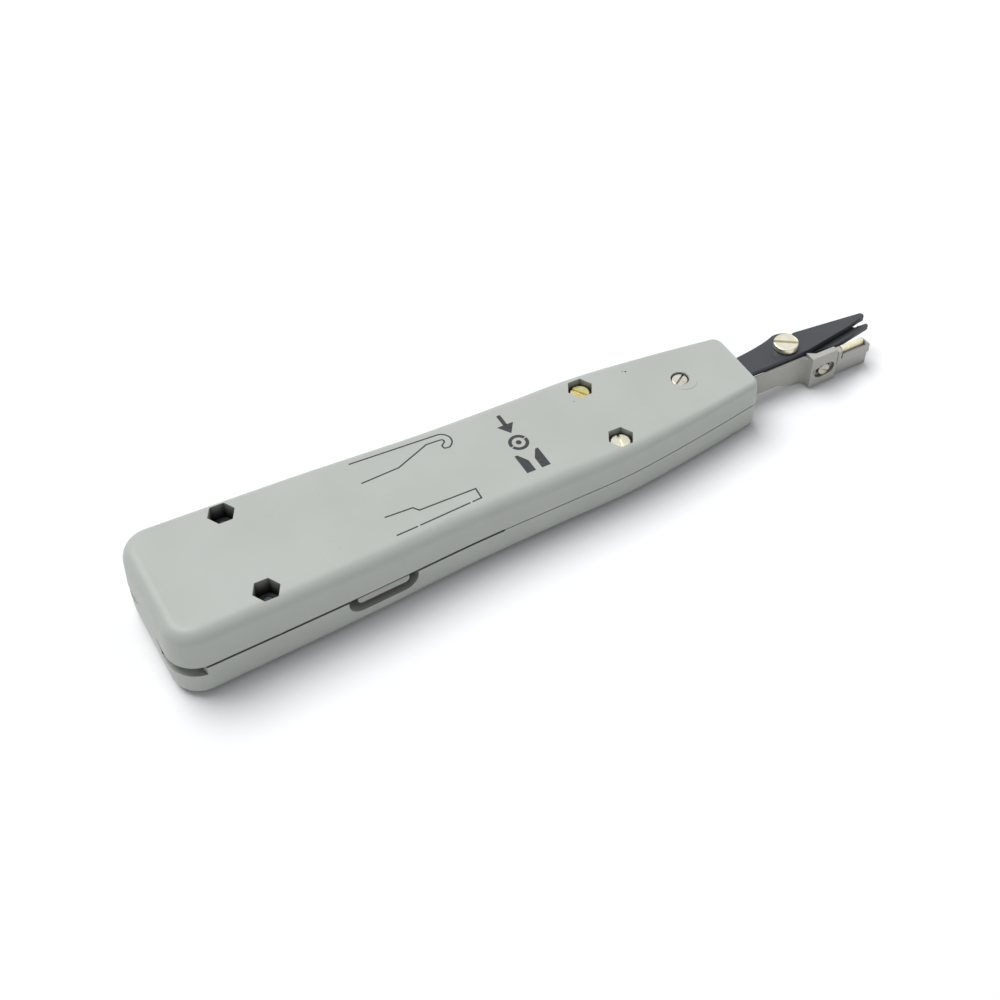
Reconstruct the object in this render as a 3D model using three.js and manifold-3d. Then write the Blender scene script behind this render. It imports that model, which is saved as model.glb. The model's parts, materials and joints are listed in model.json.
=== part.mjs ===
// Insertion (punch down) tool for telecom terminal blocks.
// Millimetres, +Z up, the tool lies on its flat back with the working tip towards +X.
// Every piece is drawn in the tool's own frame: x along the tool and z = 0 on the plane where
// the two casing halves meet. That frame leans nose-down by TILT, because the halves taper.

import * as THREE from 'three';
import { mergeVertices } from 'three/addons/utils/BufferGeometryUtils.js';
import Module from 'manifold-3d';

const wasm = await Module();
wasm.setup();

// ---- driving dimensions -------------------------------------------------------------------

const TILT = THREE.MathUtils.degToRad(1.1);
const PARTING_HEIGHT = 8.05;        // height of the parting plane over the table at x = 0

const REAR_X = -90.5;               // rear end of the casing
const FRONT_X = 54.3;               // front face of the casing
const WALL = 2.2;
const REAR_FILLET = 3;              // the casing's long edges get sharper towards the nose
const NOSE_FILLET = 1.3;
const CAVITY_COVE = 0.3;
const PARTING_GAP = 0.3;            // visible seam between the halves
const SIDE_DRAFT = 0.25;
const REAR_HALF_WIDTH = 16.9;
const REAR_CORNER = 7;
const FRONT_CORNER = 2.8;           // stays larger than every inset of the outline
// half-width of the casing along its length
const SIDE = [[-50, 15.9], [-22, 14.5], [0, 14.2], [18, 13.8], [37, 11.6], [FRONT_X - FRONT_CORNER, 9.4]];

const HEX = 5.2;                    // across flats of the hexagon pockets
const NUT = 4.9;                    // across flats of the M2.5 nuts
const SCREW_HEAD_R = 2.25;
const SHANK_R = 1.25;
const CLEAR = 0.15;                 // clearance of a shank in its hole
const CASING_SCREW = { x: 17, y: 8.7, headZ: 5.8, endZ: -6.9, nutZ: [-6.5, -4.3] };
const FRONT_SCREW = { x: 38.4, y: 0.75, headZ: 6.35, endZ: -6.6, headR: 1.85, shankR: 1, holeR: 1.15 };
const FRONT_NUT = { across: 4, z: [-6.3, -4.5] };
const FOLD_PIVOT = { x: -68, y: 11.7, headZ: -8.8, endZ: 5.6, nutZ: [3.15, 5.15] };
const NOSE_OPENING = { x0: 46, near: -4.1, far: 4.6, bottom: -4.6, top: 3.2 };
// depth levels of the pockets, from the parting plane towards the skin
const UPPER_FLOOR = { casing: 4.1, fold: 3.0, front: 4.7 };
const LOWER_FLOOR = { casing: 4.1, fold: 7, front: 4.3 };
// posts and ribs inside the casing; from is the level where a post starts in each half
const BEYOND = 20;                  // a level past either skin, where cuts and ribs are drawn to
const OUTSIDE_Y = 18;               // past the casing's side
const CASING_BOSS_R = 4.2;
const FOLD_BOSS_FROM = { upper: 1, lower: 0.4 };
const FRONT_BOSS = { upper: { r: 3.1, from: 3.1 }, lower: { r: 2.7, from: PARTING_GAP / 2 } };
const GUIDE_RAIL = { x0: -14.5, x1: 11, y: 8.4, half: 0.6 };
const SPRING_STOP = { x0: -48.4, x1: -46.3, half: 5 };
const ROD_SLOT = { half: 1.8, bottom: -2.4, top: 1.8 };
const SENSOR_RIBS = [[21.3, 23.3, -12, -4.6], [35.4, 36.8, -9, -4.9]];   // x0, x1, y0, y1
const POCKET_BACKING = { x0: -54, x1: -34.5, inner: 11.4, outer: 14.5, top: -0.4 };

const RAM = { z0: 1.4, z1: 2.8, near: -2.65, far: 3.4, rear: -6, slotTravel: 7.4, slotR: 1.8 };
const BLADE = { z0: -0.1, z1: 1.2 };
const SCISSOR_PIVOT = { x: 68, y: 0.9, headZ: 4.3, endZ: -2.4, headR: 2.9, nutZ: [-2.1, -0.3] };
const CAM_PIN = { x: 50.8, y: 3.9, r: 0.85, z0: -3.8, z1: 1.15, postR: 1.6, postTop: -0.5 };
const TIP_X = 90.5;

const ARM = { outer: -3.35, inner: -2.85, top: 1.6, bottom: -4.3, rear: 30 };
const ARM_FOOT = { x0: 33, x1: 35, y: -8.2 };
const SHOE_BLOCK = { outer: -5.8, inner: -4.4, top: 2.6, bottom: -6.35, x0: 71, x1: 78.4 };
const SHOE = { x1: 87.8, top: 1.5, inner: -4.0, groove: 0.95 };
const STRIP = { x0: 80.1, x1: 86.2, clear: 0.15, y: -5.2, legZ: 0.25, flangeZ: 1.2, top: 1.55, thick: 0.3 };
const SENSOR_SCREW = { x: 75, z: -2.3 };
const SENSOR_SPRING = { x0: 23.8, x1: 32.6, y: -6.2, z: 0, r: 1.5, wire: 0.5, turns: 5 };

const FOLD = { z0: -0.25, z1: 0.25 };          // the folding sheet-metal tools
const FOLD_SLOT = { half: 0.32, inner: 5.2, front: -15 };   // the slot they swing through
const FOLD_EYE_R = 4.6;
const FOLD_HEAD_POCKET_R = 2.6;
const WASHER_RECESS = { r: 4.2, depth: 1 };
const TAB_GROOVE = { outerR: 31, innerR: 17, clear: 0.4, y: 7.2, front: -79 };
const BUSH = { r: 1.95, z: 0.3 };
const SPRING_WASHER = { r: 3.9, z: [0.36, 0.74] };
const TAB = { x0: -50.4, x1: -38.2, z0: -2.1, z1: -0.3, depth: 2.0, corner: 1.1 };
const FINGER_POCKET = { beyondTab: 2.1, bottom: -4.5, corner: 2.4, y: 12.3 };
const CARRIAGE = { x0: -8, x1: 10, half: 7.4, z0: -4.4, z1: 1.2 };
const RIVET_X = [-3, 6];
const RIVET_Y = 0.45;
const SPRING_AXIS_Z = -0.6;
const SPRING_SEAT_X = -44;
const MAIN_SPRING = { x0: -43.2, x1: -8.8, y: 0, z: SPRING_AXIS_Z, r: 3.9, wire: 0.9, turns: 11 };
const GUIDE_ROD = { x0: -52, x1: -4.8, r: 1.3 };

// ---- solids -------------------------------------------------------------------------------

function solid(geometry) {
  const bare = geometry.clone();
  bare.deleteAttribute('normal');
  bare.deleteAttribute('uv');
  const merged = mergeVertices(bare, 1e-4);
  return new wasm.Manifold(new wasm.Mesh({
    numProp: 3,
    vertProperties: new Float32Array(merged.attributes.position.array),
    triVerts: new Uint32Array(merged.index.array),
  }));
}

function geometryOf(manifold) {
  const mesh = manifold.getMesh();
  const geometry = new THREE.BufferGeometry();
  geometry.setAttribute('position', new THREE.BufferAttribute(new Float32Array(mesh.vertProperties), 3));
  geometry.setIndex(new THREE.BufferAttribute(new Uint32Array(mesh.triVerts), 1));
  geometry.computeVertexNormals();
  return geometry;
}

function box(x0, x1, y0, y1, z0, z1) {
  const geometry = new THREE.BoxGeometry(x1 - x0, y1 - y0, z1 - z0);
  geometry.translate((x0 + x1) / 2, (y0 + y1) / 2, (z0 + z1) / 2);
  return solid(geometry);
}

function disc(x, y, radius, z0, z1, segments = 24) {
  const geometry = new THREE.CylinderGeometry(radius, radius, z1 - z0, segments);
  geometry.rotateX(Math.PI / 2);
  geometry.translate(x, y, (z0 + z1) / 2);
  return solid(geometry);
}

// a round bar along x
function bar(y, z, radius, x0, x1, segments = 16) {
  const geometry = new THREE.CylinderGeometry(radius, radius, x1 - x0, segments);
  geometry.rotateZ(Math.PI / 2);
  geometry.translate((x0 + x1) / 2, y, z);
  return solid(geometry);
}

// a round bar along y
function crossBar(x, z, radius, y0, y1, segments = 16) {
  const geometry = new THREE.CylinderGeometry(radius, radius, y1 - y0, segments);
  geometry.translate(x, (y0 + y1) / 2, z);
  return solid(geometry);
}

// an outline drawn in x and y, extruded along z
function plate(shape, z0, z1, curveSegments = 6) {
  const geometry = new THREE.ExtrudeGeometry(shape, { depth: z1 - z0, bevelEnabled: false, curveSegments });
  geometry.translate(0, 0, z0);
  return solid(geometry);
}

// an outline drawn in x and z, extruded along y
function sidePlate(shape, y0, y1, curveSegments = 6) {
  const geometry = new THREE.ExtrudeGeometry(shape, { depth: y1 - y0, bevelEnabled: false, curveSegments });
  geometry.rotateX(Math.PI / 2);
  geometry.translate(0, y1, 0);
  return solid(geometry);
}

function polygon(points) {
  return new THREE.Shape(points.map(([x, y]) => new THREE.Vector2(x, y)));
}

// hexagon with two flats parallel to x
function hexagon(x, y, acrossFlats, z0, z1) {
  const radius = acrossFlats / Math.sqrt(3);
  const corners = [0, 1, 2, 3, 4, 5].map((i) => [
    x + radius * Math.cos(i * Math.PI / 3),
    y + radius * Math.sin(i * Math.PI / 3),
  ]);
  return plate(polygon(corners), z0, z1);
}

// a slot with round ends from one point to another
function roundSlot(xa, ya, xb, yb, radius, z0, z1) {
  const length = Math.hypot(xb - xa, yb - ya);
  const shape = new THREE.Shape();
  shape.absarc(length, 0, radius, -Math.PI / 2, Math.PI / 2, false);
  shape.absarc(0, 0, radius, Math.PI / 2, 3 * Math.PI / 2, false);
  const options = { depth: z1 - z0, bevelEnabled: false, curveSegments: 8 };
  const geometry = new THREE.ExtrudeGeometry(shape, options);
  geometry.rotateZ(Math.atan2(yb - ya, xb - xa));
  geometry.translate(xa, ya, z0);
  return solid(geometry);
}

// two numbers, the lower one first
function span(a, b) {
  return [Math.min(a, b), Math.max(a, b)];
}

// a closed skin over rings that have the same number of points, lowest ring first
function loft(rings) {
  const n = rings[0].length;
  const index = [];
  for (let k = 0; k + 1 < rings.length; k++) {
    for (let i = 0; i < n; i++) {
      const a = k * n + i;
      const b = k * n + (i + 1) % n;
      index.push(a, b, b + n, a, b + n, a + n);
    }
  }
  const last = (rings.length - 1) * n;
  const flat = (ring) => ring.map((p) => new THREE.Vector2(p.x, p.y));
  for (const [a, b, c] of THREE.ShapeUtils.triangulateShape(flat(rings[0]), [])) {
    index.push(c, b, a);
  }
  for (const [a, b, c] of THREE.ShapeUtils.triangulateShape(flat(rings.at(-1)), [])) {
    index.push(last + a, last + b, last + c);
  }
  const geometry = new THREE.BufferGeometry();
  const positions = rings.flat().flatMap((p) => [p.x, p.y, p.z]);
  geometry.setAttribute('position', new THREE.Float32BufferAttribute(positions, 3));
  geometry.setIndex(index);
  return solid(geometry);
}

// a coil spring along x, one fat wire swept along a helix
function coil({ x0, x1, y, z, r, wire, turns }) {
  class Helix extends THREE.Curve {
    getPoint(t, target = new THREE.Vector3()) {
      const angle = 2 * Math.PI * turns * t;
      return target.set(x0 + (x1 - x0) * t, y + r * Math.cos(angle), z + r * Math.sin(angle));
    }
  }
  const section = new THREE.Shape();
  section.absarc(0, 0, wire / 2, 0, 2 * Math.PI, false);
  const path = new Helix();
  return solid(new THREE.ExtrudeGeometry(section, {
    steps: turns * 12,
    extrudePath: path,
    bevelEnabled: false,
    curveSegments: 3,
  }));
}

function add(...solids) {
  return solids.reduce((whole, piece) => whole.add(piece));
}

function cut(whole, ...tools) {
  return tools.reduce((rest, tool) => rest.subtract(tool), whole);
}

// ---- casing halves ------------------------------------------------------------------------

// radius of the long edges at x
function fillet(x) {
  const share = Math.min(1, Math.max(0, x / FRONT_X));
  return REAR_FILLET + (NOSE_FILLET - REAR_FILLET) * share;
}

// outline of the casing seen from above, moved inwards by inset(x), counter-clockwise
function casingOutline(inset) {
  const side = new THREE.Path();
  side.moveTo(REAR_X, REAR_HALF_WIDTH - REAR_CORNER);
  side.absarc(REAR_X + REAR_CORNER, REAR_HALF_WIDTH - REAR_CORNER, REAR_CORNER, Math.PI, Math.PI / 2, true);
  side.splineThru(SIDE.map(([x, y]) => new THREE.Vector2(x, y)));
  const [frontX, frontY] = SIDE.at(-1);
  side.absarc(frontX, frontY - FRONT_CORNER, FRONT_CORNER, Math.PI / 2, 0, true);
  const far = side.getPoints(3).filter((p, i, all) => i === 0 || p.distanceTo(all[i - 1]) > 0.01);
  const near = far.map((p) => new THREE.Vector2(p.x, -p.y));
  const loop = near.concat(far.reverse());
  return loop.map((p, i) => {
    const before = loop.at(i - 1);
    const after = loop[(i + 1) % loop.length];
    const inBound = p.clone().sub(before).normalize();
    const outBound = after.clone().sub(p).normalize();
    const along = inBound.clone().add(outBound).normalize();
    const inwards = new THREE.Vector2(-along.y, along.x);
    return p.clone().addScaledVector(inwards, inset(p.x) / Math.max(0.5, along.dot(outBound)));
  });
}

// heights of the outer faces over the parting plane, on the two halves
const UPPER = { sign: 1, height: (x) => 7.65 - 0.024 * x };
const LOWER = { sign: -1, height: (x) => (PARTING_HEIGHT - Math.sin(TILT) * x) / Math.cos(TILT) };

function ring(inset, level, sign) {
  return casingOutline(inset).map((p) => new THREE.Vector3(p.x, p.y, sign * level(p.x)));
}

function halfForm(half, sections) {
  const rings = sections.map(([inset, level]) => ring(inset, level, half.sign));
  return loft(half.sign > 0 ? rings : rings.reverse());
}

function outerForm(half) {
  const sections = [
    [() => 0, () => PARTING_GAP / 2],
    [() => SIDE_DRAFT, (x) => half.height(x) - fillet(x)],
  ];
  for (const degrees of [30, 60, 90]) {
    const a = THREE.MathUtils.degToRad(degrees);
    sections.push([
      (x) => SIDE_DRAFT + fillet(x) * (1 - Math.cos(a)),
      (x) => half.height(x) - fillet(x) * (1 - Math.sin(a)),
    ]);
  }
  return halfForm(half, sections);
}

function cavity(half) {
  return halfForm(half, [
    [() => WALL, () => -1],
    [() => WALL + SIDE_DRAFT, (x) => half.height(x) - WALL - CAVITY_COVE],
    [() => WALL + SIDE_DRAFT + CAVITY_COVE, (x) => half.height(x) - WALL],
  ]);
}

// a column from level z0 of a half out to its skin
function post(half, x, y, radius, from) {
  return disc(x, y, radius, ...span(half.sign * from, half.sign * BEYOND));
}

// a pocket or hole let into a half from outside, with its floor at level z
function well(half, makeTool, floor) {
  return makeTool(...span(half.sign * floor, half.sign * BEYOND));
}

const BOTH_SIDES = [-1, 1];

function sharedBosses(half, outer) {
  const guideRail = (side) => {
    const { x0, x1, y, half: thick } = GUIDE_RAIL;
    return box(x0, x1, side * y - thick, side * y + thick, -BEYOND, BEYOND);
  };
  const { x0, x1, half: stopHalf } = SPRING_STOP;
  const stop = box(x0, x1, -stopHalf, stopHalf, -BEYOND, BEYOND);
  const rodSlot = box(x0 - 0.6, x1 + 0.3, -ROD_SLOT.half, ROD_SLOT.half, ROD_SLOT.bottom, ROD_SLOT.top);
  const embed = 0.5;                  // how far short of the skin the inner ribs end
  const inner = halfForm(half, [
    [() => embed, () => PARTING_GAP / 2],
    [() => embed, (x) => half.height(x) - embed],
  ]);
  const foldStart = half.sign > 0 ? FOLD_BOSS_FROM.upper : FOLD_BOSS_FROM.lower;
  const { x: screwX, y: screwY } = CASING_SCREW;
  const casingBoss = (side) => post(half, screwX, side * screwY, CASING_BOSS_R, PARTING_GAP / 2);
  const parts = [
    ...BOTH_SIDES.map(casingBoss),
    ...BOTH_SIDES.map((side) => post(half, FOLD_PIVOT.x, side * FOLD_PIVOT.y, FOLD_EYE_R, foldStart)),
    ...BOTH_SIDES.map((side) => guideRail(side).intersect(inner)),
    cut(stop, rodSlot).intersect(inner),
    ...SENSOR_RIBS.map((rib) => box(...rib, -BEYOND, BEYOND).intersect(inner)),
  ];
  return add(...parts).intersect(outer);
}

function screwHole(x, y, radius) {
  return disc(x, y, radius, -BEYOND, BEYOND, 16);
}

// what both halves lose: the nose opening, screw holes and the slots of the folding tools
function sharedCuts() {
  const { half, inner, front } = FOLD_SLOT;
  const foldSlot = (side) => box(REAR_X - 2, front, ...span(side * inner, side * OUTSIDE_Y), -half, half);
  const nose = NOSE_OPENING;
  return [
    box(nose.x0, FRONT_X + 1, nose.near, nose.far, nose.bottom, nose.top),
    ...BOTH_SIDES.map(foldSlot),
    ...BOTH_SIDES.map((side) => screwHole(CASING_SCREW.x, side * CASING_SCREW.y, SHANK_R + CLEAR)),
    ...BOTH_SIDES.map((side) => screwHole(FOLD_PIVOT.x, side * FOLD_PIVOT.y, SHANK_R + CLEAR)),
    ...BOTH_SIDES.map((side) => disc(
      FOLD_PIVOT.x, side * FOLD_PIVOT.y, WASHER_RECESS.r, 0, WASHER_RECESS.depth,
    )),
    screwHole(FRONT_SCREW.x, FRONT_SCREW.y, FRONT_SCREW.holeR),
  ];
}

// hexagon pockets on both sides of the tool
function hexWells(half, at, floor) {
  return BOTH_SIDES.map((side) => well(half, (z0, z1) => hexagon(at.x, side * at.y, HEX, z0, z1), floor));
}

function upperCasing() {
  const outer = outerForm(UPPER);
  const shell = outer.subtract(cavity(UPPER));
  const { x, y, headR } = FRONT_SCREW;
  const frontBoss = post(UPPER, x, y, FRONT_BOSS.upper.r, FRONT_BOSS.upper.from).intersect(outer);
  const wells = [
    ...hexWells(UPPER, CASING_SCREW, UPPER_FLOOR.casing),
    ...hexWells(UPPER, FOLD_PIVOT, UPPER_FLOOR.fold),
    well(UPPER, (z0, z1) => disc(x, y, headR + 0.2, z0, z1), UPPER_FLOOR.front),
  ];
  return cut(add(shell, sharedBosses(UPPER, outer), frontBoss), ...sharedCuts(), ...wells);
}

// pocket in the side wall that lets a fingernail reach the tab of a folded tool
function fingerPocket(side) {
  const centre = (TAB.x0 + TAB.x1) / 2;
  const half = (TAB.x1 - TAB.x0) / 2 + FINGER_POCKET.beyondTab;
  const top = 1;
  const { bottom, corner } = FINGER_POCKET;
  const shape = new THREE.Shape();
  shape.moveTo(centre - half, top);
  shape.lineTo(centre - half, bottom + corner);
  shape.absarc(centre - half + corner, bottom + corner, corner, Math.PI, 1.5 * Math.PI, false);
  shape.absarc(centre + half - corner, bottom + corner, corner, 1.5 * Math.PI, 2 * Math.PI, false);
  shape.lineTo(centre + half, top);
  return sidePlate(shape, ...span(side * FINGER_POCKET.y, side * OUTSIDE_Y));
}

// groove round the rear corner where a tab rests when its tool is folded out
function tabGroove(side) {
  const centre = [FOLD_PIVOT.x, side * FOLD_PIVOT.y];
  const { outerR, innerR, clear, y, front } = TAB_GROOVE;
  const outer = disc(...centre, outerR, TAB.z0 - clear, 0, 48);
  const inner = disc(...centre, innerR, TAB.z0 - 1, 1, 48);
  const corner = box(REAR_X - 1, front, ...span(side * y, side * OUTSIDE_Y), -5, 1);
  return outer.subtract(inner).intersect(corner);
}

function lowerCasing() {
  const outer = outerForm(LOWER);
  const shell = outer.subtract(cavity(LOWER));
  const { x, y } = FRONT_SCREW;
  const frontBoss = post(LOWER, x, y, FRONT_BOSS.lower.r, FRONT_BOSS.lower.from).intersect(outer);
  const backing = BOTH_SIDES.map((side) => {
    const { x0, x1, inner, outer: outerSide, top } = POCKET_BACKING;
    return box(x0, x1, ...span(side * inner, side * outerSide), -BEYOND, top).intersect(outer);
  });
  const camPost = disc(CAM_PIN.x, CAM_PIN.y, CAM_PIN.postR, -BEYOND, CAM_PIN.postTop).intersect(outer);
  const foldWells = BOTH_SIDES.map((side) => well(
    LOWER, (z0, z1) => disc(FOLD_PIVOT.x, side * FOLD_PIVOT.y, FOLD_HEAD_POCKET_R, z0, z1), LOWER_FLOOR.fold,
  ));
  const wells = [
    ...hexWells(LOWER, CASING_SCREW, LOWER_FLOOR.casing),
    ...foldWells,
    well(LOWER, (z0, z1) => hexagon(x, y, FRONT_NUT.across + 0.2, z0, z1), LOWER_FLOOR.front),
  ];
  const camHole = disc(CAM_PIN.x, CAM_PIN.y, CAM_PIN.r + 0.1, -4, 2, 16);
  const body = cut(add(shell, sharedBosses(LOWER, outer), frontBoss, ...backing), ...sharedCuts(), ...wells);
  return cut(
    add(body, cut(camPost, camHole)),
    ...BOTH_SIDES.map(fingerPocket),
    ...BOTH_SIDES.map(tabGroove),
  );
}

// ---- fasteners ----------------------------------------------------------------------------

// slotted cheese-head screw standing along z, its head at the end named by headZ
function slottedScrew({ x, y, headZ, headHeight, headR = SCREW_HEAD_R, shankR = SHANK_R, endZ, slotAngle }) {
  const down = endZ < headZ ? -1 : 1;
  const seat = headZ + down * headHeight;
  const head = disc(x, y, headR, ...span(headZ, seat), 24);
  const shank = disc(x, y, shankR, ...span(seat - down * 0.1, endZ), 16);
  const slot = new THREE.BoxGeometry(headR * 3, headR * 0.28, 1.4);
  slot.rotateZ(slotAngle);
  slot.translate(x, y, headZ);
  return cut(add(head, shank), solid(slot));
}

function hexNut(x, y, acrossFlats, boreR, z0, z1) {
  return cut(hexagon(x, y, acrossFlats, z0, z1), disc(x, y, boreR, z0 - 1, z1 + 1, 16));
}

function sleeve(x, y, outerR, innerR, z0, z1) {
  return cut(disc(x, y, outerR, z0, z1, 20), disc(x, y, innerR, z0 - 1, z1 + 1, 16));
}

// ---- the head: ram, scissor blade and their drive -----------------------------------------

function ramPlate() {
  const shape = new THREE.Shape();
  shape.moveTo(RAM.rear, RAM.near);
  shape.lineTo(72, RAM.near);
  shape.lineTo(85.2, -0.6);
  shape.lineTo(88.4, 0.15);
  shape.absarc(TIP_X - 0.8, 1.1, 0.8, -1.3, 1.35, false);
  shape.lineTo(72.2, 4.0);
  shape.absarc(SCISSOR_PIVOT.x, SCISSOR_PIVOT.y, 4.6, 0.62, 1.75, false);
  shape.quadraticCurveTo(64, 4.1, 56, RAM.far);
  shape.lineTo(RAM.rear, RAM.far);
  const guideSlot = roundSlot(
    FRONT_SCREW.x, FRONT_SCREW.y, FRONT_SCREW.x + RAM.slotTravel, FRONT_SCREW.y, RAM.slotR, 0, 4,
  );
  return cut(
    plate(shape, RAM.z0, RAM.z1),
    guideSlot,
    disc(SCISSOR_PIVOT.x, SCISSOR_PIVOT.y, 1.4, 0, 4, 16),
    ...RIVET_X.map((x) => disc(x, RIVET_Y, 1.0, 0, 4, 12)),
  );
}

function scissorBlade() {
  const shape = new THREE.Shape();
  shape.moveTo(51, -0.1);
  shape.lineTo(60, -1.4);
  shape.lineTo(65, -2.2);
  shape.lineTo(72, -2.5);
  shape.lineTo(80, -3.2);
  shape.lineTo(88, -1.8);
  shape.lineTo(TIP_X, -1.4);
  shape.lineTo(TIP_X, -0.5);
  shape.lineTo(TIP_X - 2.2, -0.35);
  shape.absarc(TIP_X - 2.9, 0.3, 0.7, -0.6, -1.5 * Math.PI + 0.6, true);
  shape.lineTo(72, 2.9);
  shape.absarc(SCISSOR_PIVOT.x, SCISSOR_PIVOT.y, 3.9, 0.4, 2.2, false);
  shape.lineTo(58.3, 3.6);
  shape.lineTo(51, 2.2);
  return cut(
    plate(shape, BLADE.z0, BLADE.z1),
    disc(SCISSOR_PIVOT.x, SCISSOR_PIVOT.y, 1.45, -2, 4, 20),
  );
}

function ramCarriage() {
  const body = box(CARRIAGE.x0, CARRIAGE.x1, -CARRIAGE.half, CARRIAGE.half, CARRIAGE.z0, CARRIAGE.z1);
  return cut(
    body,
    bar(0, SPRING_AXIS_Z, GUIDE_ROD.r + CLEAR, CARRIAGE.x0 - 1, GUIDE_ROD.x1 + 0.4),
    ...RIVET_X.map((x) => disc(x, RIVET_Y, 1.0, CARRIAGE.z0 - 1, CARRIAGE.z1 + 1, 12)),
    ...BOTH_SIDES.map((side) => box(-5, 7, side * 5.6 - 1.1, side * 5.6 + 1.1, -1.6, 3)),
  );
}

function rivet(x) {
  return add(
    disc(x, RIVET_Y, 0.9, CARRIAGE.z0 + 0.2, RAM.z1 + 0.2, 12),
    disc(x, RIVET_Y, 1.7, RAM.z1 + 0.1, RAM.z1 + 0.8, 16),
  );
}

// ---- the wire sensor beside the head ------------------------------------------------------

function sensorArm() {
  const { outer, inner, top, bottom, rear } = ARM;
  const { x0, x1 } = SHOE_BLOCK;
  const plan = plate(polygon([
    [rear, outer], [ARM_FOOT.x0, outer], [ARM_FOOT.x0, ARM_FOOT.y],
    [ARM_FOOT.x1, ARM_FOOT.y], [ARM_FOOT.x1, outer], [x0, outer],
    [x0, SHOE_BLOCK.outer], [x1, SHOE_BLOCK.outer], [x1, SHOE_BLOCK.inner],
    [x0 + 2, SHOE_BLOCK.inner], [x0 - 0.4, inner], [rear, inner],
  ]), -20, 20);
  const side = new THREE.Shape();
  side.moveTo(rear, top);
  side.lineTo(rear, bottom);
  side.lineTo(63.5, bottom);
  side.bezierCurveTo(67.5, bottom, 66.5, SHOE_BLOCK.bottom, x0, SHOE_BLOCK.bottom);
  side.lineTo(x1, SHOE_BLOCK.bottom);
  side.lineTo(x1, SHOE_BLOCK.top);
  side.lineTo(x0, SHOE_BLOCK.top);
  side.lineTo(x0, top);
  const screw = SENSOR_SCREW;
  const slotShape = (r) => {
    const shape = new THREE.Shape();
    shape.absarc(screw.x + 1.1, screw.z + 0.1, r, -Math.PI / 2, Math.PI / 2, false);
    shape.absarc(screw.x - 1.1, screw.z - 0.1, r, Math.PI / 2, 1.5 * Math.PI, false);
    return shape;
  };
  return cut(
    plan.intersect(sidePlate(side, -20, 20)),
    sidePlate(slotShape(1.75), SHOE_BLOCK.outer - 1, SHOE_BLOCK.outer + 0.75),
    sidePlate(slotShape(0.9), SHOE_BLOCK.outer - 1, SHOE_BLOCK.inner + 1),
  );
}

function sensorScrew() {
  const { x, z } = SENSOR_SCREW;
  const { outer } = SHOE_BLOCK;
  const slot = new THREE.BoxGeometry(5, 0.8, 0.5);
  slot.rotateY(0.6);
  slot.translate(x, outer + 0.1, z);
  return cut(
    add(crossBar(x, z, 1.5, outer + 0.05, outer + 0.65, 20), crossBar(x, z, 0.75, outer + 0.6, -3.35, 12)),
    solid(slot),
  );
}

function sensorShoe() {
  const x0 = SHOE_BLOCK.x1 + 0.15;
  const { x1, top, inner, groove } = SHOE;
  const section = new THREE.Shape();
  section.moveTo(SHOE_BLOCK.outer, top);
  section.lineTo(SHOE_BLOCK.outer, -2.3);
  section.lineTo(SHOE_BLOCK.outer + 0.5, -2.7);
  section.lineTo(SHOE_BLOCK.outer + 0.7, SHOE_BLOCK.bottom);
  section.lineTo(inner, SHOE_BLOCK.bottom);
  section.lineTo(inner, top);
  const geometry = new THREE.ExtrudeGeometry(section, { depth: x1 - x0, bevelEnabled: false });
  geometry.rotateX(Math.PI / 2);
  geometry.rotateZ(Math.PI / 2);
  geometry.translate(x0, 0, 0);
  const tongue = box(73.6, x0 + 0.2, -4.2, -3.2, -4, -0.9);
  const seat = [STRIP.x0 - STRIP.clear, STRIP.x1 + STRIP.clear];
  return cut(
    add(solid(geometry), tongue),
    crossBar(SENSOR_SCREW.x, SENSOR_SCREW.z, 0.85, -5, -2, 16),
    box(...seat, SHOE_BLOCK.outer - 1, SHOE_BLOCK.outer + groove, STRIP.legZ - 0.05, top + 1),
    box(...seat, SHOE_BLOCK.outer - 1, inner + 1, STRIP.flangeZ - 0.05, top + 1),
  );
}

// angle strip let into the shoe: a top flange over a leg at the back of the groove
function sensorStrip() {
  const { x0, x1, y, legZ, flangeZ, top, thick } = STRIP;
  return add(box(x0, x1, y, y + thick, legZ, top), box(x0, x1, y, SHOE.inner - 0.02, flangeZ, top));
}

// ---- folding tools ------------------------------------------------------------------------

// Both are drawn for the far side (+y) and mirrored when side is -1.
function foldShape(side, draw) {
  const shape = new THREE.Shape();
  const { x, y } = FOLD_PIVOT;
  shape.moveTo(x, y - FOLD_EYE_R);
  draw(shape);
  const points = shape.getPoints(8).map((p) => new THREE.Vector2(p.x, side * p.y));
  return new THREE.Shape(points);
}

// the lug that reaches out to the casing's side and carries the tab
function drawLugAndEye(shape) {
  const { x, y } = FOLD_PIVOT;
  shape.lineTo(-35.5, 11.5);
  shape.quadraticCurveTo(TAB.x1, 12.2, TAB.x1, 15.0);
  shape.lineTo(TAB.x0, 15.4);
  shape.lineTo(x + 2, y + 4.1);
  shape.absarc(x, y, FOLD_EYE_R, 1.1, 1.5 * Math.PI, false);
}

function releaseHook() {
  const shape = foldShape(1, (s) => {
    s.lineTo(-58, 5.9);
    s.lineTo(-38.7, 5.6);
    s.lineTo(-30, 5.9);
    s.lineTo(-21.4, 9.1);
    s.quadraticCurveTo(-19.0, 9.5, -18.6, 8.0);
    s.lineTo(-18.4, 6.5);
    s.quadraticCurveTo(-16.2, 7.2, -16.3, 8.8);
    s.quadraticCurveTo(-16.6, 10.9, -19, 11.0);
    drawLugAndEye(s);
  });
  return foldPlate(shape, 1);
}

function knifeBlade() {
  const shape = foldShape(-1, (s) => {
    s.lineTo(-58, 6.0);
    s.lineTo(-38.7, 5.8);
    s.lineTo(-32.4, 5.9);
    s.lineTo(-31.4, 7.0);
    s.lineTo(-17.9, 7.2);
    s.lineTo(-19.6, 10.3);
    drawLugAndEye(s);
  });
  return foldPlate(shape, -1);
}

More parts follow.
